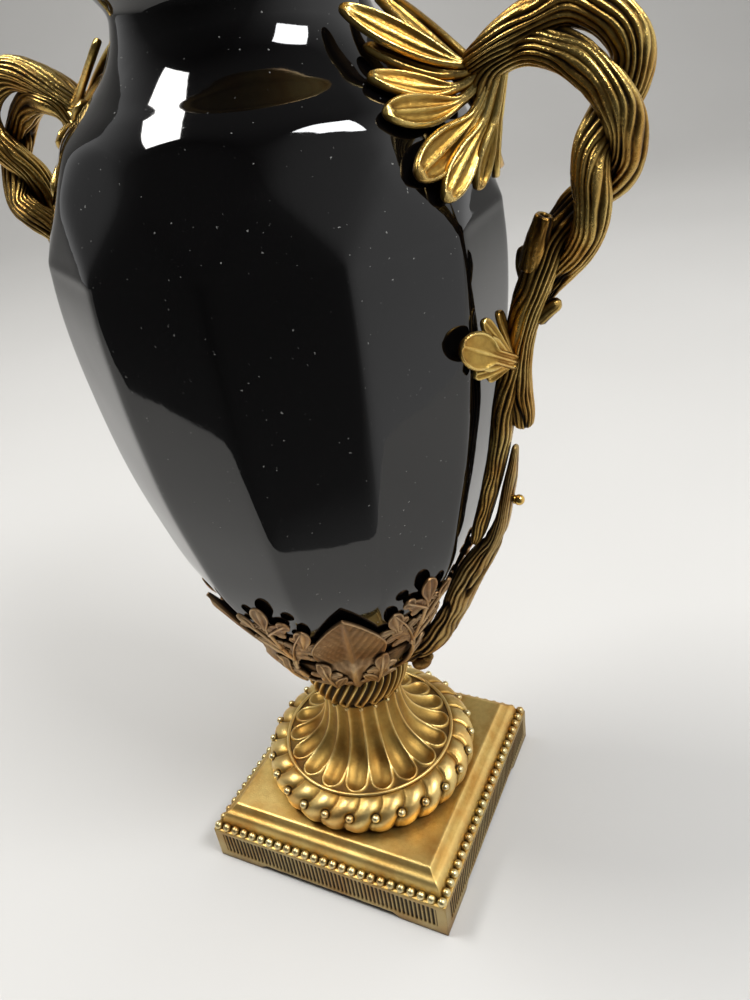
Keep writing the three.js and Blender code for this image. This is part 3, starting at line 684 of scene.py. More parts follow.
UPPER_BRANCH = [
    (83, 387.2, -1, 4, 6.4), (92.6, 392.8, -1, 5.4, 7.6), (104, 398.4, 0, 6.4, 7.5),
    (116, 401.6, 2, 6.8, 6.8), (127, 396.4, 5, 6.6, 6.6), (133, 387.8, 6.4, 6.5, 6.5),
    (132.6, 378.5, 5.4, 6.3, 6.3), (127, 369.5, 2, 6.2, 6.2), (123.4, 361.6, -2.4, 6, 6),
    (123.4, 353, -5.2, 6, 6), (124.4, 345.6, -6.2, 5.8, 5.8), (123.2, 337.6, -5, 5.6, 5.6),
    (119.4, 329.2, -1.4, 5.4, 5.4), (113.4, 321.8, 2.6, 5, 5), (106.4, 313.4, 5, 4, 4),
    (101, 304, 5, 2.6, 3),
]
LOWER_BRANCH = [
    (86.6, 374, 0, 2.6, 4.6), (87.2, 380.6, 0, 4.2, 6.4), (90.6, 386.4, 0.5, 4.8, 7.2),
    (98, 390.2, 1.5, 5, 7.4), (107, 391.4, -1, 5.8, 7), (119, 386.8, -4.4, 6.2, 6.4),
    (129, 377.6, -6, 6.3, 6.3), (133.6, 368.5, -4, 6.3, 6.3), (133.4, 359.5, 0, 6.2, 6.2),
    (129.8, 351.4, 4.4, 6.2, 6.2), (122.6, 346, 6.4, 6.2, 6.2), (115, 340.4, 4.4, 6.2, 6.4),
    (108.8, 332, 1, 6.2, 6.6), (104.4, 321, -0.5, 6.2, 6.8), (100.6, 309, -0.5, 6, 7),
    (97.4, 298.4, 0, 5.6, 7), (95.6, 287, 0, 5.4, 6.8), (95.6, 274, 0, 5, 6.2), (96.6, 264, 0.5, 4.6, 5.4),
    (97.2, 257.4, 1, 3.4, 4.2),
]
LONG_STEM = [
    (95.2, 292, -1, 5, 5.6), (92.6, 280, -2, 4.8, 6.4), (90, 266, -2.4, 4.5, 7), (87.2, 248.5, -2.4, 4, 7),
    (83.7, 233.8, -2.4, 3.9, 6.6), (81.1, 224, -2.2, 3.7, 6), (78.2, 214, -2, 3.4, 5.2),
    (75.4, 205, -2, 3, 4), (72.9, 198.4, -2, 1.6, 1.8),
]
CUT_TWIG = [(101.6, 321, -2.5, 4.4, 4.4), (104.8, 331, -4.6, 4.2, 4), (109, 341.8, -7, 3.4, 3.4)]
THORN = [(103, 302.5, 0, 3.6, 3.6), (108, 307, 0.5, 3, 3), (112, 309.8, 1, 2.4, 2.4)]
BROKEN_TWIG = [(102, 312, 3, 3.4, 3), (98, 321, 4, 3.2, 2.8), (97.5, 328.5, 4.5, 2.2, 2.4)]
CUP_ARM = [
    (30, 119.5, 0, 3.2, 6), (37.2, 125, 0, 4.8, 6.5), (45.6, 133.6, 0, 5.8, 6.5),
    (52.3, 143.4, 0, 6.2, 6.5), (58.7, 155.9, 0, 6.2, 6.5), (64.2, 168.9, 0, 6.2, 6.3),
    (69.9, 181.4, 0, 6, 6), (76.2, 192, 0, 5.1, 5.6), (82.5, 203.2, 0, 3.8, 5.2), (86.2, 213, 0, 3, 5),
    (88.6, 223.5, 0, 2.7, 4.8), (91.2, 236, 0, 2.4, 4.4), (93.4, 250, 0, 1.2, 2.4),
]

# The fan's leaves, bundled like a funnel: tips as degrees from the handle's plane and height, half width,
# where each springs from the stalk, in degrees round it from its top, and x and z of its bend.
# Each but the top one is doubled by its mirror image.
FAN_TIPS = [
    (0, 408, 4.8, 0, 80.6, 386.2), (21.9, 406.6, 5, 45, 82.5, 387), (16.2, 395.7, 3.8, 65, 81, 384),
    (24.2, 387.6, 4.8, 85, 79.8, 380), (27, 378.3, 5.4, 105, 80.8, 376), (25, 360.4, 6.2, 125, 85, 371.5),
    (19.1, 351.3, 5.4, 145, 87.5, 369.5), (6.6, 350.3, 4.4, 165, 91, 371),
]
STALK_UP = np.array([-0.6, 0.0, 0.8])
STALK_FEET = np.array([[88.0, 0, 387], [93, 0, 388]])
BUNDLE_HALF = 6.5
# The highest tips stand off the narrow neck, at this radius.
FAN_CLEAR = 50.5

# The stem's spray: a broad round lobe and four fingers, joined by a web at their foot.
SPRAY_FOOT = (-4.1, 289.5)
SPRAY_LOBE = (-20.7, 305, 7.0)
SPRAY_TIPS = [(-12.2, 309.3, 3), (-4.5, 308.6, 3), (-16, 291.2, 3), (-10, 285.6, 3)]


def stalked(t):
    """Half width of a fan leaf: a narrow stalk that opens into a round-ended spoon."""
    body = 0.34 + 0.66 * smoothstep(0.38, 0.84, t)
    end = np.sqrt(np.clip(1 - np.clip((t - 0.85) / 0.15, 0, 1) ** 2, 0, 1))
    return np.maximum(body * end, 0.02)


def fan_leaf(skin, angle, z, half, turn, bend_x, bend_z, side):
    turn = math.radians(turn)
    root_normal = math.cos(turn) * STALK_UP + side * math.sin(turn) * np.array([0.0, 1, 0])
    start = STALK_FEET[0] + turn / math.pi * (STALK_FEET[1] - STALK_FEET[0]) + 2.4 * root_normal
    bend = np.array([bend_x, side * BUNDLE_HALF * math.sin(turn), bend_z])
    lift = 2.6 + max(0, FAN_CLEAR - float(body_radius(z)))
    end, end_normal = body_place(math.radians(side * angle), z, lift)
    t = leaf_rows(38)
    u = t[:, None]
    centres = (1 - u) ** 3 * start + 3 * u * (1 - u) * bend + u ** 3 * end
    normals = (1 - u) * root_normal + u * end_normal
    blade(skin, centres, normals, t, half * 1.06, stalked(t), columns=10, finish=1, thick=2.6, keel=0.45,
          keel_half=0.45, cup=1.15, rim=0.5, border=0.95)


def fan_leaves(skin):
    for angle, z, half, turn, bend_x, bend_z in FAN_TIPS:
        for side in ([1] if angle == 0 else [-1, 1]):
            fan_leaf(skin, angle, z, half, turn, bend_x, bend_z, side)


def spray_leaf(skin, foot, tip, lifts, half, shares, **look):
    t = leaf_rows(24)
    angle = np.radians(foot[0] + (tip[0] - foot[0]) * t)
    z = foot[1] + (tip[1] - foot[1]) * t
    centres, normals = body_place(angle, z, lifts[0] + (lifts[1] - lifts[0]) * t)
    blade(skin, centres, normals, t, half, shares(t), finish=1, **look)


def round_lobe(t):
    """A neck that opens into a nearly round lobe."""
    lobe = np.sqrt(np.clip(1 - ((t - 0.7) / 0.3) ** 2, 0, 1))
    return np.maximum(np.maximum(lobe, 0.42 * smoothstep(0.9, 0.6, t)), 0.02)


def stem_leaves(skin):
    angle, z, half = SPRAY_LOBE
    spray_leaf(skin, SPRAY_FOOT, (angle, z), (9.5, 2.6), half, round_lobe, columns=12, thick=2.0, keel=0.5,
               cup=0.8, rim=0.35, border=0.7)
    for angle, z, half in SPRAY_TIPS:
        spray_leaf(skin, SPRAY_FOOT, (angle, z), (8.8, 2.4), half, lambda t: spoon(t, 0.5, 0.84), columns=7,
                   thick=1.9, keel=0.3, cup=0.8, rim=0.4, border=0.6)
    web_tip = (SPRAY_FOOT[0] + 0.62 * (SPRAY_LOBE[0] - SPRAY_FOOT[0]), 299.5)
    spray_leaf(skin, SPRAY_FOOT, web_tip, (9.2, 4.2), 6.6, lambda t: spoon(t, 0.22, 0.75), columns=8,
               thick=1.6, keel=0.6, keel_half=0.6, cup=0.3, rim=0.1)


def handle_skin():
    skin = Skin()
    branch(skin, UPPER_BRANCH, 21, twist=0.0022)
    branch(skin, LOWER_BRANCH, 31, twist=0.0018)
    branch(skin, LONG_STEM, 41, ridges=15, columns=100)
    branch(skin, CUT_TWIG, 61, columns=40, ridges=9, depth=0.8, spacing=0.8, hollow=True)
    branch(skin, THORN, 71, columns=24, ridges=6, depth=0.5, spacing=0.8)
    branch(skin, BROKEN_TWIG, 81, columns=32, ridges=7, depth=0.7, spacing=0.8)
    fan_leaves(skin)
    stem_leaves(skin)
    return skin


# The leaf cup: a bowl with leaves that run up from it, a little off the faceted body. Places are degrees
# and heights.

CUP_BOWL = [(COLLAR_TOP, 24.9), (119.2, 28.5), (130.5, 38), (143.6, 45.2), (156, 49.4), (168, 54.5)]
bowl_radius = smooth_curve(CUP_BOWL)


def cup_surface(angle, z):
    """What the cup's leaves lie on: its bowl, and above that the body."""
    bowl = bowl_radius(np.clip(z, COLLAR_TOP, 168)) + 0 * angle
    return -soft_min([-body_surface(angle, z), -bowl + 1.5 + 12 * smoothstep(146, 160, z)], 0.4)


BROAD_FOOT, BROAD_TIP, BROAD_HALF = 118.5, 192.3, 17.0
broad_width = smooth_curve([(119, 0.2), (140, 0.56), (155, 0.93), (163, 1.0), (172, 0.87), (180, 0.62),
                            (188, 0.28), (192.4, 0.02)])


def mixed(a, b, t):
    """Places from a to b, as rows of angle in radians and height."""
    return np.stack([np.radians(a[0] + (b[0] - a[0]) * t), a[1] + (b[1] - a[1]) * t], axis=-1)


def lobe(skin, foot, tip, half, lift=1.6, neck=0.4, broad=0.6, rows=10, columns=4, **look):
    t = leaf_rows(rows)
    style = {"thick": 1.1, "keel": 0.35, "keel_half": 0.3, "cup": 0.55, "rim": 0.3, "border": 0.45} | look
    laid_blade(skin, mixed(foot, tip, t), t, half, spoon(t, neck, broad), lift, columns=columns, **style)


def stem(skin, places, half, lift):
    """A thin round stem through a few places."""
    rows, _ = smooth_path([(angle, z, 0) for angle, z in places], 16)
    t = np.linspace(0, 1, len(rows))
    path = np.stack([np.radians(rows[:, 0]), rows[:, 1]], axis=-1)
    laid_blade(skin, path, t, half, 1 - 0.4 * t, lift, columns=3, thick=1.6, keel=0.5, keel_half=half, cup=0,
               rim=0)


def step_from(place, across, up):
    """The place some millimetres to the side of and above another."""
    stretch = math.hypot(1, float(body_radius(place[1] + 0.5) - body_radius(place[1] - 0.5)))
    return place[0] + math.degrees(across / float(body_radius(place[1]))), place[1] + up / stretch


def lobed_leaf(skin, foot, tip, pairs, reach, half, lift=1.9):
    """A leaf with round lobes to both sides of its rib and one at its end."""
    radius = float(body_radius((foot[1] + tip[1]) / 2))
    over, up = math.radians(tip[0] - foot[0]) * radius, tip[1] - foot[1]
    heading, size = math.atan2(over, up), math.hypot(over, up)
    stem(skin, [foot, ((foot[0] + tip[0]) / 2, (foot[1] + tip[1]) / 2), tip], 0.7, lift + 0.5)
    crown = step_from(foot, over * 0.62, up * 0.62)
    lobe(skin, crown, tip, half * 1.1, lift + 0.3)
    for i in range(pairs):
        share = 0.18 + 0.5 * i / max(pairs - 1, 1)
        root = step_from(foot, over * share, up * share)
        for side in (-1, 1):
            turn = heading + side * math.radians(66 - 20 * share)
            length = reach * (1 - 0.25 * abs(share - 0.4))
            end = step_from(root, length * math.sin(turn), length * math.cos(turn))
            lobe(skin, root, end, half, lift - 0.2)
    web = step_from(foot, over * 0.72, up * 0.72)
    lobe(skin, foot, web, min(half * 1.3, size * 0.25), lift - 0.3, neck=0.5, keel=0, rim=0, cup=0)


def spray(skin, foot, side, bend=0.0):
    """A stem with a round leaf on top, lobed leaves on one side and fingers on the other."""
    def at(angle, z):
        return foot + side * angle, z

    stem(skin, [at(-bend, 118.5), at(-bend * 0.4, 134), at(0, 147.6), at(2.6, 178), at(3.4, 186)], 1.3, 2.3)
    lobe(skin, at(3.0, 182), at(6.2, 200), 4.2, 2.6, neck=0.3, broad=0.62, rows=16, columns=6, keel=0.5)
    lobed_leaf(skin, at(2.8, 178), at(15.2, 191.6), 1, 7.0, 3.1, 2.4)
    lobed_leaf(skin, at(0.2, 149), at(20, 186), 3, 10.5, 3.7, 1.9)
    lobe(skin, at(0.2, 150), at(13.5, 156.8), 3.2, 1.8)
    lobed_leaf(skin, at(1.4, 163), at(-4.6, 192), 2, 7.0, 2.5, 2.2)
    lobed_leaf(skin, at(0, 146), at(-7.5, 172), 2, 7.0, 2.6, 1.8)
    for share in (0.25, 0.5, 0.75):
        root = at(-bend * (1 - share), 119 + 30 * share)
        lobe(skin, root, step_from(root, -side * 6, 7), 1.9, 2.0)


def broad_leaf(skin, angle):
    t = leaf_rows(54)
    places = mixed((angle, BROAD_FOOT), (angle, BROAD_TIP), t)
    laid_blade(skin, places, t, BROAD_HALF, np.maximum(broad_width(places[:, 1]), 0.02), 1.9 + 1.2 * t ** 6,
               columns=18, thick=1.4, keel=1.9, keel_half=1.35, cup=0.5, rim=0.5, border=0.5,
               pleats=(9.5, 1.6, 0.75))


def sprigs(skin, angle):
    for side in (-1, 1):
        foot = (angle + side * 16, 126)
        lobed_leaf(skin, foot, (angle + side * 17, 154), 2, 8.2, 3.2, 3.2)
        lobe(skin, foot, (angle + side * 6, 140), 2.3, 3.4)


def cup_bowl(skin):
    outer = [(24.9, COLLAR_TOP), (26.6, 117), (28.5, 119.2), (33.2, 124.4), (38, 130.5), (42, 137),
             (45.6, 143.6)]
    radius, z = resample(outer, 24)
    inner_z = np.linspace(144, 130, 8)[:, None]
    outside = np.concatenate([np.ones_like(z), np.zeros_like(inner_z)])
    radius = np.concatenate([radius, body_radius(inner_z) + 0.6])
    z = np.concatenate([z, inner_z])
    angles = full_circle(120)
    vein = np.abs(np.sin(30 * angles + 0.4)) * outside
    points = turned_grid(angles, radius - 1.6 - 0.5 * vein, z)
    skin.grid(points, 0.25 * (1 - vein), wrap=True, close_start=True)


def arm_skin():
    arm = Skin()
    branch(arm, CUP_ARM, 91, spacing=1.2, ridges=14, columns=84, depth=1.3, finish=1)
    for offset, z, size in ((39.5, 118.8, 4.2), (35.5, 121.2, 3.0), (43, 122.6, 2.6)):
        ball(arm, (offset, -1.5, z), size, pole=(0.79, 0, 0.61), squash=1.45, finish=1, columns=24, rows=15,
             relief=0.75)
    return arm


def leaf_cup(leaf_material, bark_material):
    skin = Skin()
    cup_bowl(skin)
    for angle in (60, 120, 240, 300):
        broad_leaf(skin, angle)
        sprigs(skin, angle)
    for turn in (0, 180):
        spray(skin, turn + 20.5, 1, bend=8)
        spray(skin, turn - 20.5, -1, bend=8)
        spray(skin, turn - 95.7, 1)
    arm = arm_skin()
    for turn in (0, math.pi):
        skin.join(arm.turned(turn))
    return skin.make("leaf_cup_visual", [leaf_material, bark_material])


# The rim and the nuts.

def rim_collar(material):
    skin = Skin()
    profile = [
        (48.3, NECK_TOP), (49.8, 422), (50.6, 423.6), (50.2, 425.2), (48.9, 426), (48.6, 427), (49, 429),
        (50.6, 432.6), (53.4, 436), (57, 438.9), (57.5, 439.8), (59.2, 440.6), (59.9, 442.2), (59.6, 444),
        (58.6, 445.3), (57.2, RIM_TOP), (55.6, 445.4), (52, 441.8), (47.6, 436), (44.6, 429.6),
        (43, NECK_TOP),
    ]
    radius, z = resample(profile, 84)
    angles = full_circle(150)
    skin.grid(turned_grid(angles, radius, z), 0.8, wrap=True)
    return skin.make("rim_collar_visual", [material])


def nut(name, side, material):
    """A ball on a small collar, on the arm's outer side."""
    skin = Skin()
    ball(skin, (side * NUT_MIDDLE, 0, NUT_HEIGHT), 2.35, columns=24, rows=15, pole=(side, 0, 0), relief=1.0)
    around = full_circle(24)
    rows = []
    for x, radius in NUT_COLLAR:
        y, z = radius * np.cos(around), NUT_HEIGHT + radius * np.sin(around)
        rows.append(np.stack([np.full(24, side * (NUT_FOOT + x)), y, z], axis=-1))
    skin.grid(np.stack(rows), 0.6, wrap=True, flip=side < 0, close_start=True)
    return skin.make(name, [material])


# Materials.

def set_stops(ramp, stops):
    elements = ramp.color_ramp.elements
    while len(elements) < len(stops):
        elements.new(0.5)
    for element, (position, colour) in zip(elements, stops):
        element.position, element.color = position, (*colour, 1)


class Nodes:
    """A material's node tree, with short calls for the nodes used here."""

    def __init__(self, name):
        self.material = bpy.data.materials.new(name)
        self.material.use_nodes = True
        self.tree = self.material.node_tree
        self.shader = next(n for n in self.tree.nodes if n.type == "BSDF_PRINCIPLED")
        self.place = self.add("ShaderNodeTexCoord").outputs["Object"]

    def add(self, kind, settings=None, **inputs):
        node = self.tree.nodes.new(kind)
        for key, value in (settings or {}).items():
            setattr(node, key, value)
        for key, value in inputs.items():
            self.feed(node.inputs[key.replace("_", " ")], value)
        return node

    def feed(self, socket, value):
        if hasattr(value, "is_linked"):
            self.tree.links.new(value, socket)
        else:
            socket.default_value = value

    def noise(self, scale, detail=4.0, roughness=0.55, place=None):
        node = self.add("ShaderNodeTexNoise", Scale=scale, Detail=detail, Roughness=roughness)
        self.feed(node.inputs["Vector"], place or self.place)
        return node.outputs["Fac"]

    def math(self, operation, a, b=0.5, c=None):
        node = self.tree.nodes.new("ShaderNodeMath")
        node.operation = operation
        for socket, value in zip(node.inputs, (a, b, c)):
            if value is not None:
                self.feed(socket, value)
        return node.outputs[0]

    def ramp(self, value, stops):
        node = self.add("ShaderNodeValToRGB", Fac=value)
        set_stops(node, stops)
        return node.outputs["Color"]

    def spread(self, value, low, high, out_low=0.0, out_high=1.0):
        node = self.add("ShaderNodeMapRange", Value=value, From_Min=low, From_Max=high, To_Min=out_low,
                        To_Max=out_high)
        return node.outputs["Result"]

    def attribute(self, name):
        return self.add("ShaderNodeAttribute", {"attribute_name": name}).outputs["Fac"]

    # Ambient occlusion, which the gildings paint into their colour as shade.
    def hollow(self, distance):
        node = self.add("ShaderNodeAmbientOcclusion", {"samples": 8}, Distance=distance)
        return node.outputs["AO"]

    def relief_bump(self, value, strength, distance, normal=None):
        node = self.add("ShaderNodeBump", Height=value, Strength=strength, Distance=distance)
        if normal is not None:
            self.feed(node.inputs["Normal"], normal)
        return node.outputs["Normal"]


# Antique gildings. The colour stops run from the dark of the grooves to the bright of the crests, and the two
# roughnesses are for the grooves and the crests. The two weights, of the relief and of the ambient occlusion,
# paint shade into the grooves and hollows and light onto the crests.
GILDINGS = {
    "handle_bronze": dict(stops=[(0.0, (0.007, 0.004, 0.0015)), (0.38, (0.05, 0.028, 0.008)),
                                 (0.68, (0.27, 0.17, 0.045)), (1.0, (0.66, 0.47, 0.15))],
                          wear_and_relief_shade=0.9, shade=0.5),
    "leaf_gilding": dict(stops=[(0.05, (0.05, 0.024, 0.006)), (0.38, (0.3, 0.17, 0.035)),
                                (0.68, (0.62, 0.42, 0.105)), (1.0, (0.86, 0.66, 0.25))], rough=(0.46, 0.25)),
    "cup_bronze": dict(stops=[(0.0, (0.016, 0.009, 0.004)), (0.35, (0.13, 0.075, 0.034)),
                              (0.68, (0.36, 0.23, 0.12)), (1.0, (0.66, 0.48, 0.27))], rough=(0.6, 0.38),
                       pits=0.16),
    "cup_bark": dict(stops=[(0.0, (0.009, 0.005, 0.002)), (0.38, (0.06, 0.035, 0.012)),
                            (0.7, (0.25, 0.16, 0.055)), (1.0, (0.56, 0.4, 0.16))], rough=(0.56, 0.34),
                     wear_and_relief_shade=0.9),
    "socle_bronze": dict(stops=[(0.0, (0.028, 0.016, 0.005)), (0.3, (0.19, 0.108, 0.026)),
                                (0.62, (0.5, 0.32, 0.085)), (1.0, (0.88, 0.66, 0.26))], rough=(0.6, 0.4),
                         grain=0.25, pits=0.12, wear_and_relief_shade=0.8),
    "plinth_bronze": dict(stops=[(0.0, (0.04, 0.024, 0.008)), (0.35, (0.26, 0.16, 0.042)),
                                 (0.65, (0.54, 0.35, 0.095)), (1.0, (0.86, 0.63, 0.23))], rough=(0.62, 0.44),
                          grain=0.28, pits=0.14),
    "side_bronze": dict(stops=[(0.05, (0.016, 0.011, 0.005)), (0.4, (0.08, 0.055, 0.022)),
                               (0.7, (0.22, 0.155, 0.065)), (1.0, (0.46, 0.35, 0.16))], rough=(0.64, 0.46),
                        grain=0.28, pits=0.16, wear_and_relief_shade=0.95),
    "bead_bronze": dict(stops=[(0.0, (0.045, 0.03, 0.012)), (0.4, (0.24, 0.175, 0.065)),
                               (0.7, (0.54, 0.42, 0.17)), (1.0, (0.9, 0.77, 0.42))], rough=(0.52, 0.36),
                        grain=0.2, pits=0.1),
    "nut_brass": dict(stops=[(0.0, (0.2, 0.11, 0.025)), (0.5, (0.58, 0.38, 0.09)), (1.0, (0.85, 0.62, 0.2))],
                      rough=(0.34, 0.18), pits=0.08),
}


def gilding(name):
    return bronze(name, **GILDINGS[name])


def bronze(name, stops, rough=(0.5, 0.26), grain=0.35, pits=0.25, wear_and_relief_shade=0.55, shade=0.55):
    """The colour and the shine follow the relief, what is hidden from the sky, clouds and a fine grain. The
    relief and what is hidden from the sky are painted shade in grooves and hollows and painted light on
    crests.
    """
    nodes = Nodes(name)
    relief = nodes.attribute("relief")
    # Ambient occlusion, painted into the colour as shade in hollows and between parts.
    occlusion_shade = nodes.hollow(0.007)
    cloud = nodes.noise(38, 3)
    fine = nodes.noise(420, 5, 0.65)
    # The relief darkens the grooves as painted shade and lightens the crests as painted light.
    level = nodes.math("MULTIPLY", relief, wear_and_relief_shade)
    level = nodes.math("MULTIPLY_ADD", occlusion_shade, shade, level)
    level = nodes.math("MULTIPLY_ADD", nodes.math("SUBTRACT", cloud, 0.5), 0.5, level)
    level = nodes.math("MULTIPLY_ADD", nodes.math("SUBTRACT", fine, 0.5), grain, level)
    level = nodes.math("SUBTRACT", level, wear_and_relief_shade + shade - 1, None)
    stain = nodes.ramp(nodes.noise(55, 4), [(0.42, (1, 1, 1)), (0.7, (0.84, 0.64, 0.46))])
    stained = nodes.add("ShaderNodeVectorMath", {"operation": "MULTIPLY"})
    nodes.feed(stained.inputs[0], nodes.ramp(level, stops))
    nodes.feed(stained.inputs[1], stain)
    nodes.feed(nodes.shader.inputs["Base Color"], stained.outputs["Vector"])
    nodes.feed(nodes.shader.inputs["Metallic"], nodes.spread(level, 0.0, 0.45, 0.65, 1.0))
    roughness = nodes.spread(level, 0.1, 0.95, rough[0], rough[1])
    roughness = nodes.math("MULTIPLY_ADD", nodes.math("SUBTRACT", fine, 0.5), 0.16, roughness)
    nodes.feed(nodes.shader.inputs["Roughness"], roughness)
    pitted = nodes.spread(nodes.noise(900, 3, 0.7), 0.36, 0.52)
    normal = nodes.relief_bump(pitted, pits, 0.0003)
    normal = nodes.relief_bump(nodes.noise(170, 4), pits, 0.0006, normal)
    nodes.feed(nodes.shader.inputs["Normal"], normal)
    return nodes.material


def black_glaze():
    nodes = Nodes("black_glaze")
    shader = nodes.shader
    specks = nodes.spread(nodes.noise(620, 2, 0.5), 0.735, 0.76)
    haze = nodes.spread(nodes.noise(24, 3), 0.45, 0.7)
    colour = nodes.ramp(specks, [(0.0, (0.0016, 0.0014, 0.0015)), (1.0, (0.2, 0.2, 0.19))])
    nodes.feed(shader.inputs["Base Color"], colour)
    roughness = nodes.math("MULTIPLY_ADD", haze, 0.02, 0.035)
    nodes.feed(shader.inputs["Roughness"], nodes.math("MULTIPLY_ADD", specks, 0.3, roughness))
    shader.inputs["IOR"].default_value = 1.52
    ripple = nodes.relief_bump(nodes.noise(30, 2), 0.10, 0.0008)
    nodes.feed(shader.inputs["Normal"], nodes.relief_bump(nodes.noise(150, 3), 0.05, 0.0002, ripple))
    return nodes.material


# Floor, light and camera.

# The paper is turned with the camera. Metres, apart from the millimetres that it lies below the feet.
PAPER_TURN, PAPER_GAP = math.radians(29), 0.05
FLOOR_FRONT, FLOOR_BACK, BEND_RADIUS, PAPER_HEIGHT, PAPER_HALF = -0.22, 1.7, 0.9, 3.0, 3.0
CAMERA_SIDE = (-0.17, -0.985, 0.0)


def backdrop():
    """Pale paper, flat under the vase and rising behind it. Its part near the camera isn't mirrored."""
    flat = np.concatenate([np.linspace(FLOOR_FRONT, 0.6, 6), np.linspace(0.8, FLOOR_BACK, 6)])
    bend = np.linspace(0, math.pi / 2, 14)[1:]
    y = np.concatenate([flat, FLOOR_BACK + BEND_RADIUS * np.sin(bend), [FLOOR_BACK + BEND_RADIUS]])
    z = np.concatenate([0 * flat, BEND_RADIUS * (1 - np.cos(bend)), [PAPER_HEIGHT]])
    nodes = Nodes("paper")
    shade = nodes.ramp(nodes.noise(1.6, 2), [(0.35, (0.56, 0.55, 0.53)), (0.65, (0.59, 0.58, 0.56))])
    nodes.feed(nodes.shader.inputs["Base Color"], shade)
    nodes.shader.inputs["Roughness"].default_value = 0.85
    near = np.linspace(-PAPER_HALF, FLOOR_FRONT, 5)
    for name, y, z in (("backdrop", y, z), ("backdrop_near", near, 0 * near)):
        skin = Skin()
        x, y = np.meshgrid(np.linspace(-PAPER_HALF, PAPER_HALF, 13), y)
        grid = np.stack([x, y, np.broadcast_to(z[:, None], x.shape)], axis=-1)
        skin.grid(grid @ spin(PAPER_TURN).T / MM - np.array([0, 0, PAPER_GAP]), 1.0)
        sheet = skin.make(name, [nodes.material])
        sheet.visible_glossy = name == "backdrop"


def softbox(name, place, target, size, power, colour=(1, 1, 1)):
    light = bpy.data.lights.new(name, "AREA")
    light.shape = "RECTANGLE"
    light.size, light.size_y = size
    light.energy = power
    light.color = colour
    lamp = bpy.data.objects.new(name, light)
    bpy.context.scene.collection.objects.link(lamp)
    lamp.location = place
    lamp.rotation_mode = "QUATERNION"
    lamp.rotation_quaternion = (Vector(target) - Vector(place)).to_track_quat("-Z", "Y")
    return lamp


# Greys of the room against how far a direction points towards the camera's side, and against its height.
ROOM_GREYS = [(0.0, 1.0), (0.35, 0.85), (0.6, 0.45), (0.78, 0.1), (1.0, 0.04)]
OVERHEAD_SHADE = [(0.5, 1.0), (0.85, 0.15)]
# Each window's place, the point that it faces and its colour.
WINDOWS = [
    ("window_left", (-0.93, -0.25, 1.92), (0.008, -0.066, 0.385), (1, 0.99, 0.97)),
    ("window_right", (1.19, -0.19, 1.78), (0.056, -0.045, 0.379), (0.98, 0.99, 1)),
]
WINDOW_SIZE, WINDOW_WATTS = (0.75, 0.45), 27
CEILING_SIZE, CEILING_WATTS = (2.2, 2.2), 34


def studio():
    """Two bright windows overhead, and a room that is dark behind the camera and light behind the vase."""
    for name, place, target, colour in WINDOWS:
        softbox(name, place, target, WINDOW_SIZE, WINDOW_WATTS, colour)
    ceiling = softbox("ceiling", (0.3, 0.4, 2.8), (0, 0, 0), CEILING_SIZE, CEILING_WATTS)
    ceiling.visible_glossy = False
    world = bpy.data.worlds.new("room")
    world.use_nodes = True
    new, link = world.node_tree.nodes.new, world.node_tree.links.new
    place = new("ShaderNodeTexCoord").outputs["Generated"]
    towards, half, split = new("ShaderNodeVectorMath"), new("ShaderNodeMath"), new("ShaderNodeSeparateXYZ")
    towards.operation, half.operation = "DOT_PRODUCT", "MULTIPLY_ADD"
    towards.inputs[1].default_value = CAMERA_SIDE
    half.inputs[1].default_value = half.inputs[2].default_value = 0.5
    link(place, towards.inputs[0])
    link(place, split.inputs["Vector"])
    link(towards.outputs["Value"], half.inputs[0])
    both = new("ShaderNodeVectorMath")
    both.operation = "MULTIPLY"
    for source, greys, socket in ((half.outputs["Value"], ROOM_GREYS, both.inputs[0]),
                                  (split.outputs["Z"], OVERHEAD_SHADE, both.inputs[1])):
        ramp = new("ShaderNodeValToRGB")
        set_stops(ramp, [(position, (grey, grey, grey)) for position, grey in greys])
        link(source, ramp.inputs["Fac"])
        link(ramp.outputs["Color"], socket)
    link(both.outputs["Vector"], world.node_tree.nodes["Background"].inputs["Color"])
    bpy.context.scene.world = world
    bpy.context.scene.view_settings.view_transform = "Standard"


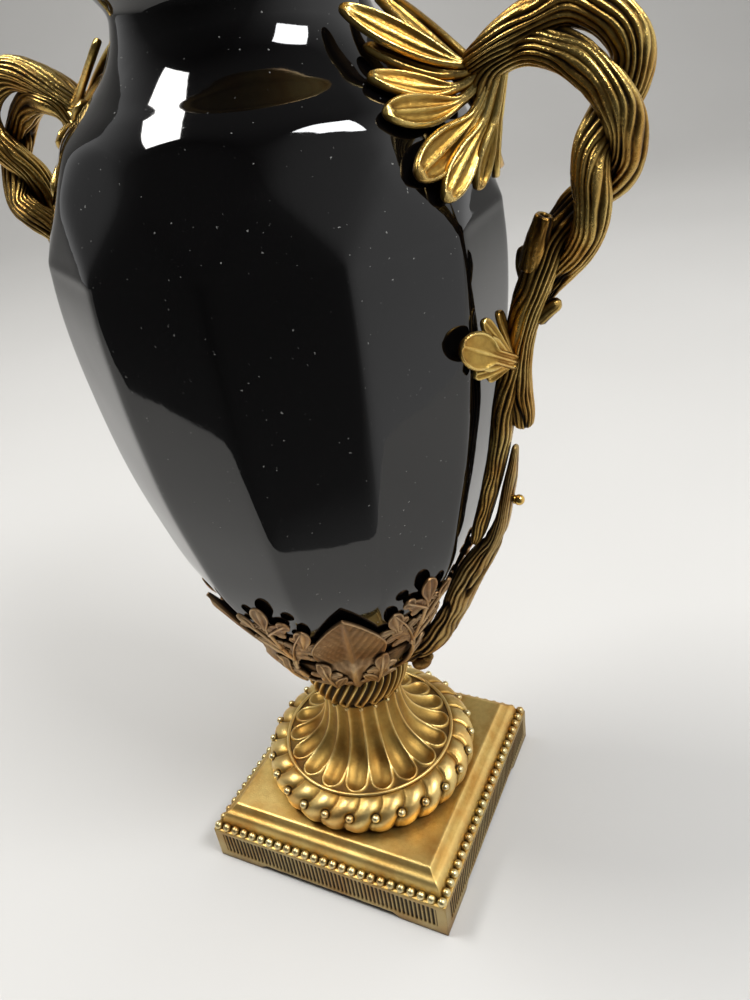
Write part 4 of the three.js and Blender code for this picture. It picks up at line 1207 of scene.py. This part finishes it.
# The camera's place, its turn, pitch and roll in degrees, and its sensor's width and focal length.
CAMERA_PLACE, CAMERA_TURNS = (184.7, -285.3, 411.7), (29.205, 31.255, -8.345)
CAMERA_SENSOR, CAMERA_LENS = 36, 29.85


def camera():
    """The photograph's viewpoint, from a fit to the plinth, the facets and the rings."""
    place = Vector(CAMERA_PLACE) * MM
    turn, pitch, roll = (math.radians(angle) for angle in CAMERA_TURNS)
    ahead = Vector((-math.sin(turn) * math.cos(pitch), math.cos(turn) * math.cos(pitch), -math.sin(pitch)))
    level = ahead.cross(Vector((0, 0, 1))).normalized()
    above = level.cross(ahead)
    right = math.cos(roll) * level + math.sin(roll) * above
    up = -math.sin(roll) * level + math.cos(roll) * above
    lens = bpy.data.cameras.new("camera")
    lens.sensor_width, lens.lens = CAMERA_SENSOR, CAMERA_LENS
    lens.clip_start, lens.clip_end = 0.01, 20
    eye = bpy.data.objects.new("camera", lens)
    bpy.context.scene.collection.objects.link(eye)
    eye.matrix_world = Matrix.Translation(place) @ Matrix((right, up, -ahead)).transposed().to_4x4()
    bpy.context.scene.camera = eye


def settle(thing, node):
    """The piece stands for its node on the one body."""
    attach(thing, "root")
    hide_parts(node)


def build():
    beads = gilding("bead_bronze")
    bark_metal, leaf_metal = gilding("handle_bronze"), gilding("leaf_gilding")
    settle(plinth(gilding("plinth_bronze"), beads, gilding("side_bronze")), "plinth")
    settle(socle(gilding("socle_bronze"), beads), "socle")
    settle(twisted_collar(gilding("socle_bronze"), beads), "twisted_collar")
    settle(leaf_cup(gilding("cup_bronze"), gilding("cup_bark")), "leaf_cup")
    settle(vase_body(black_glaze()), "vase_body")
    settle(rim_collar(gilding("socle_bronze")), "rim_collar")
    handle = handle_skin()
    for side, turn in (("right", 0), ("left", math.pi)):
        one = handle.turned(turn).make(f"handle_{side}_visual", [bark_metal, leaf_metal])
        settle(one, f"handle_{side}")
    brass = gilding("nut_brass")
    for name, side in (("right", 1), ("left", -1)):
        settle(nut(f"nut_{name}_visual", side, brass), f"nut_{name}")


camera()
build()
backdrop()
studio()
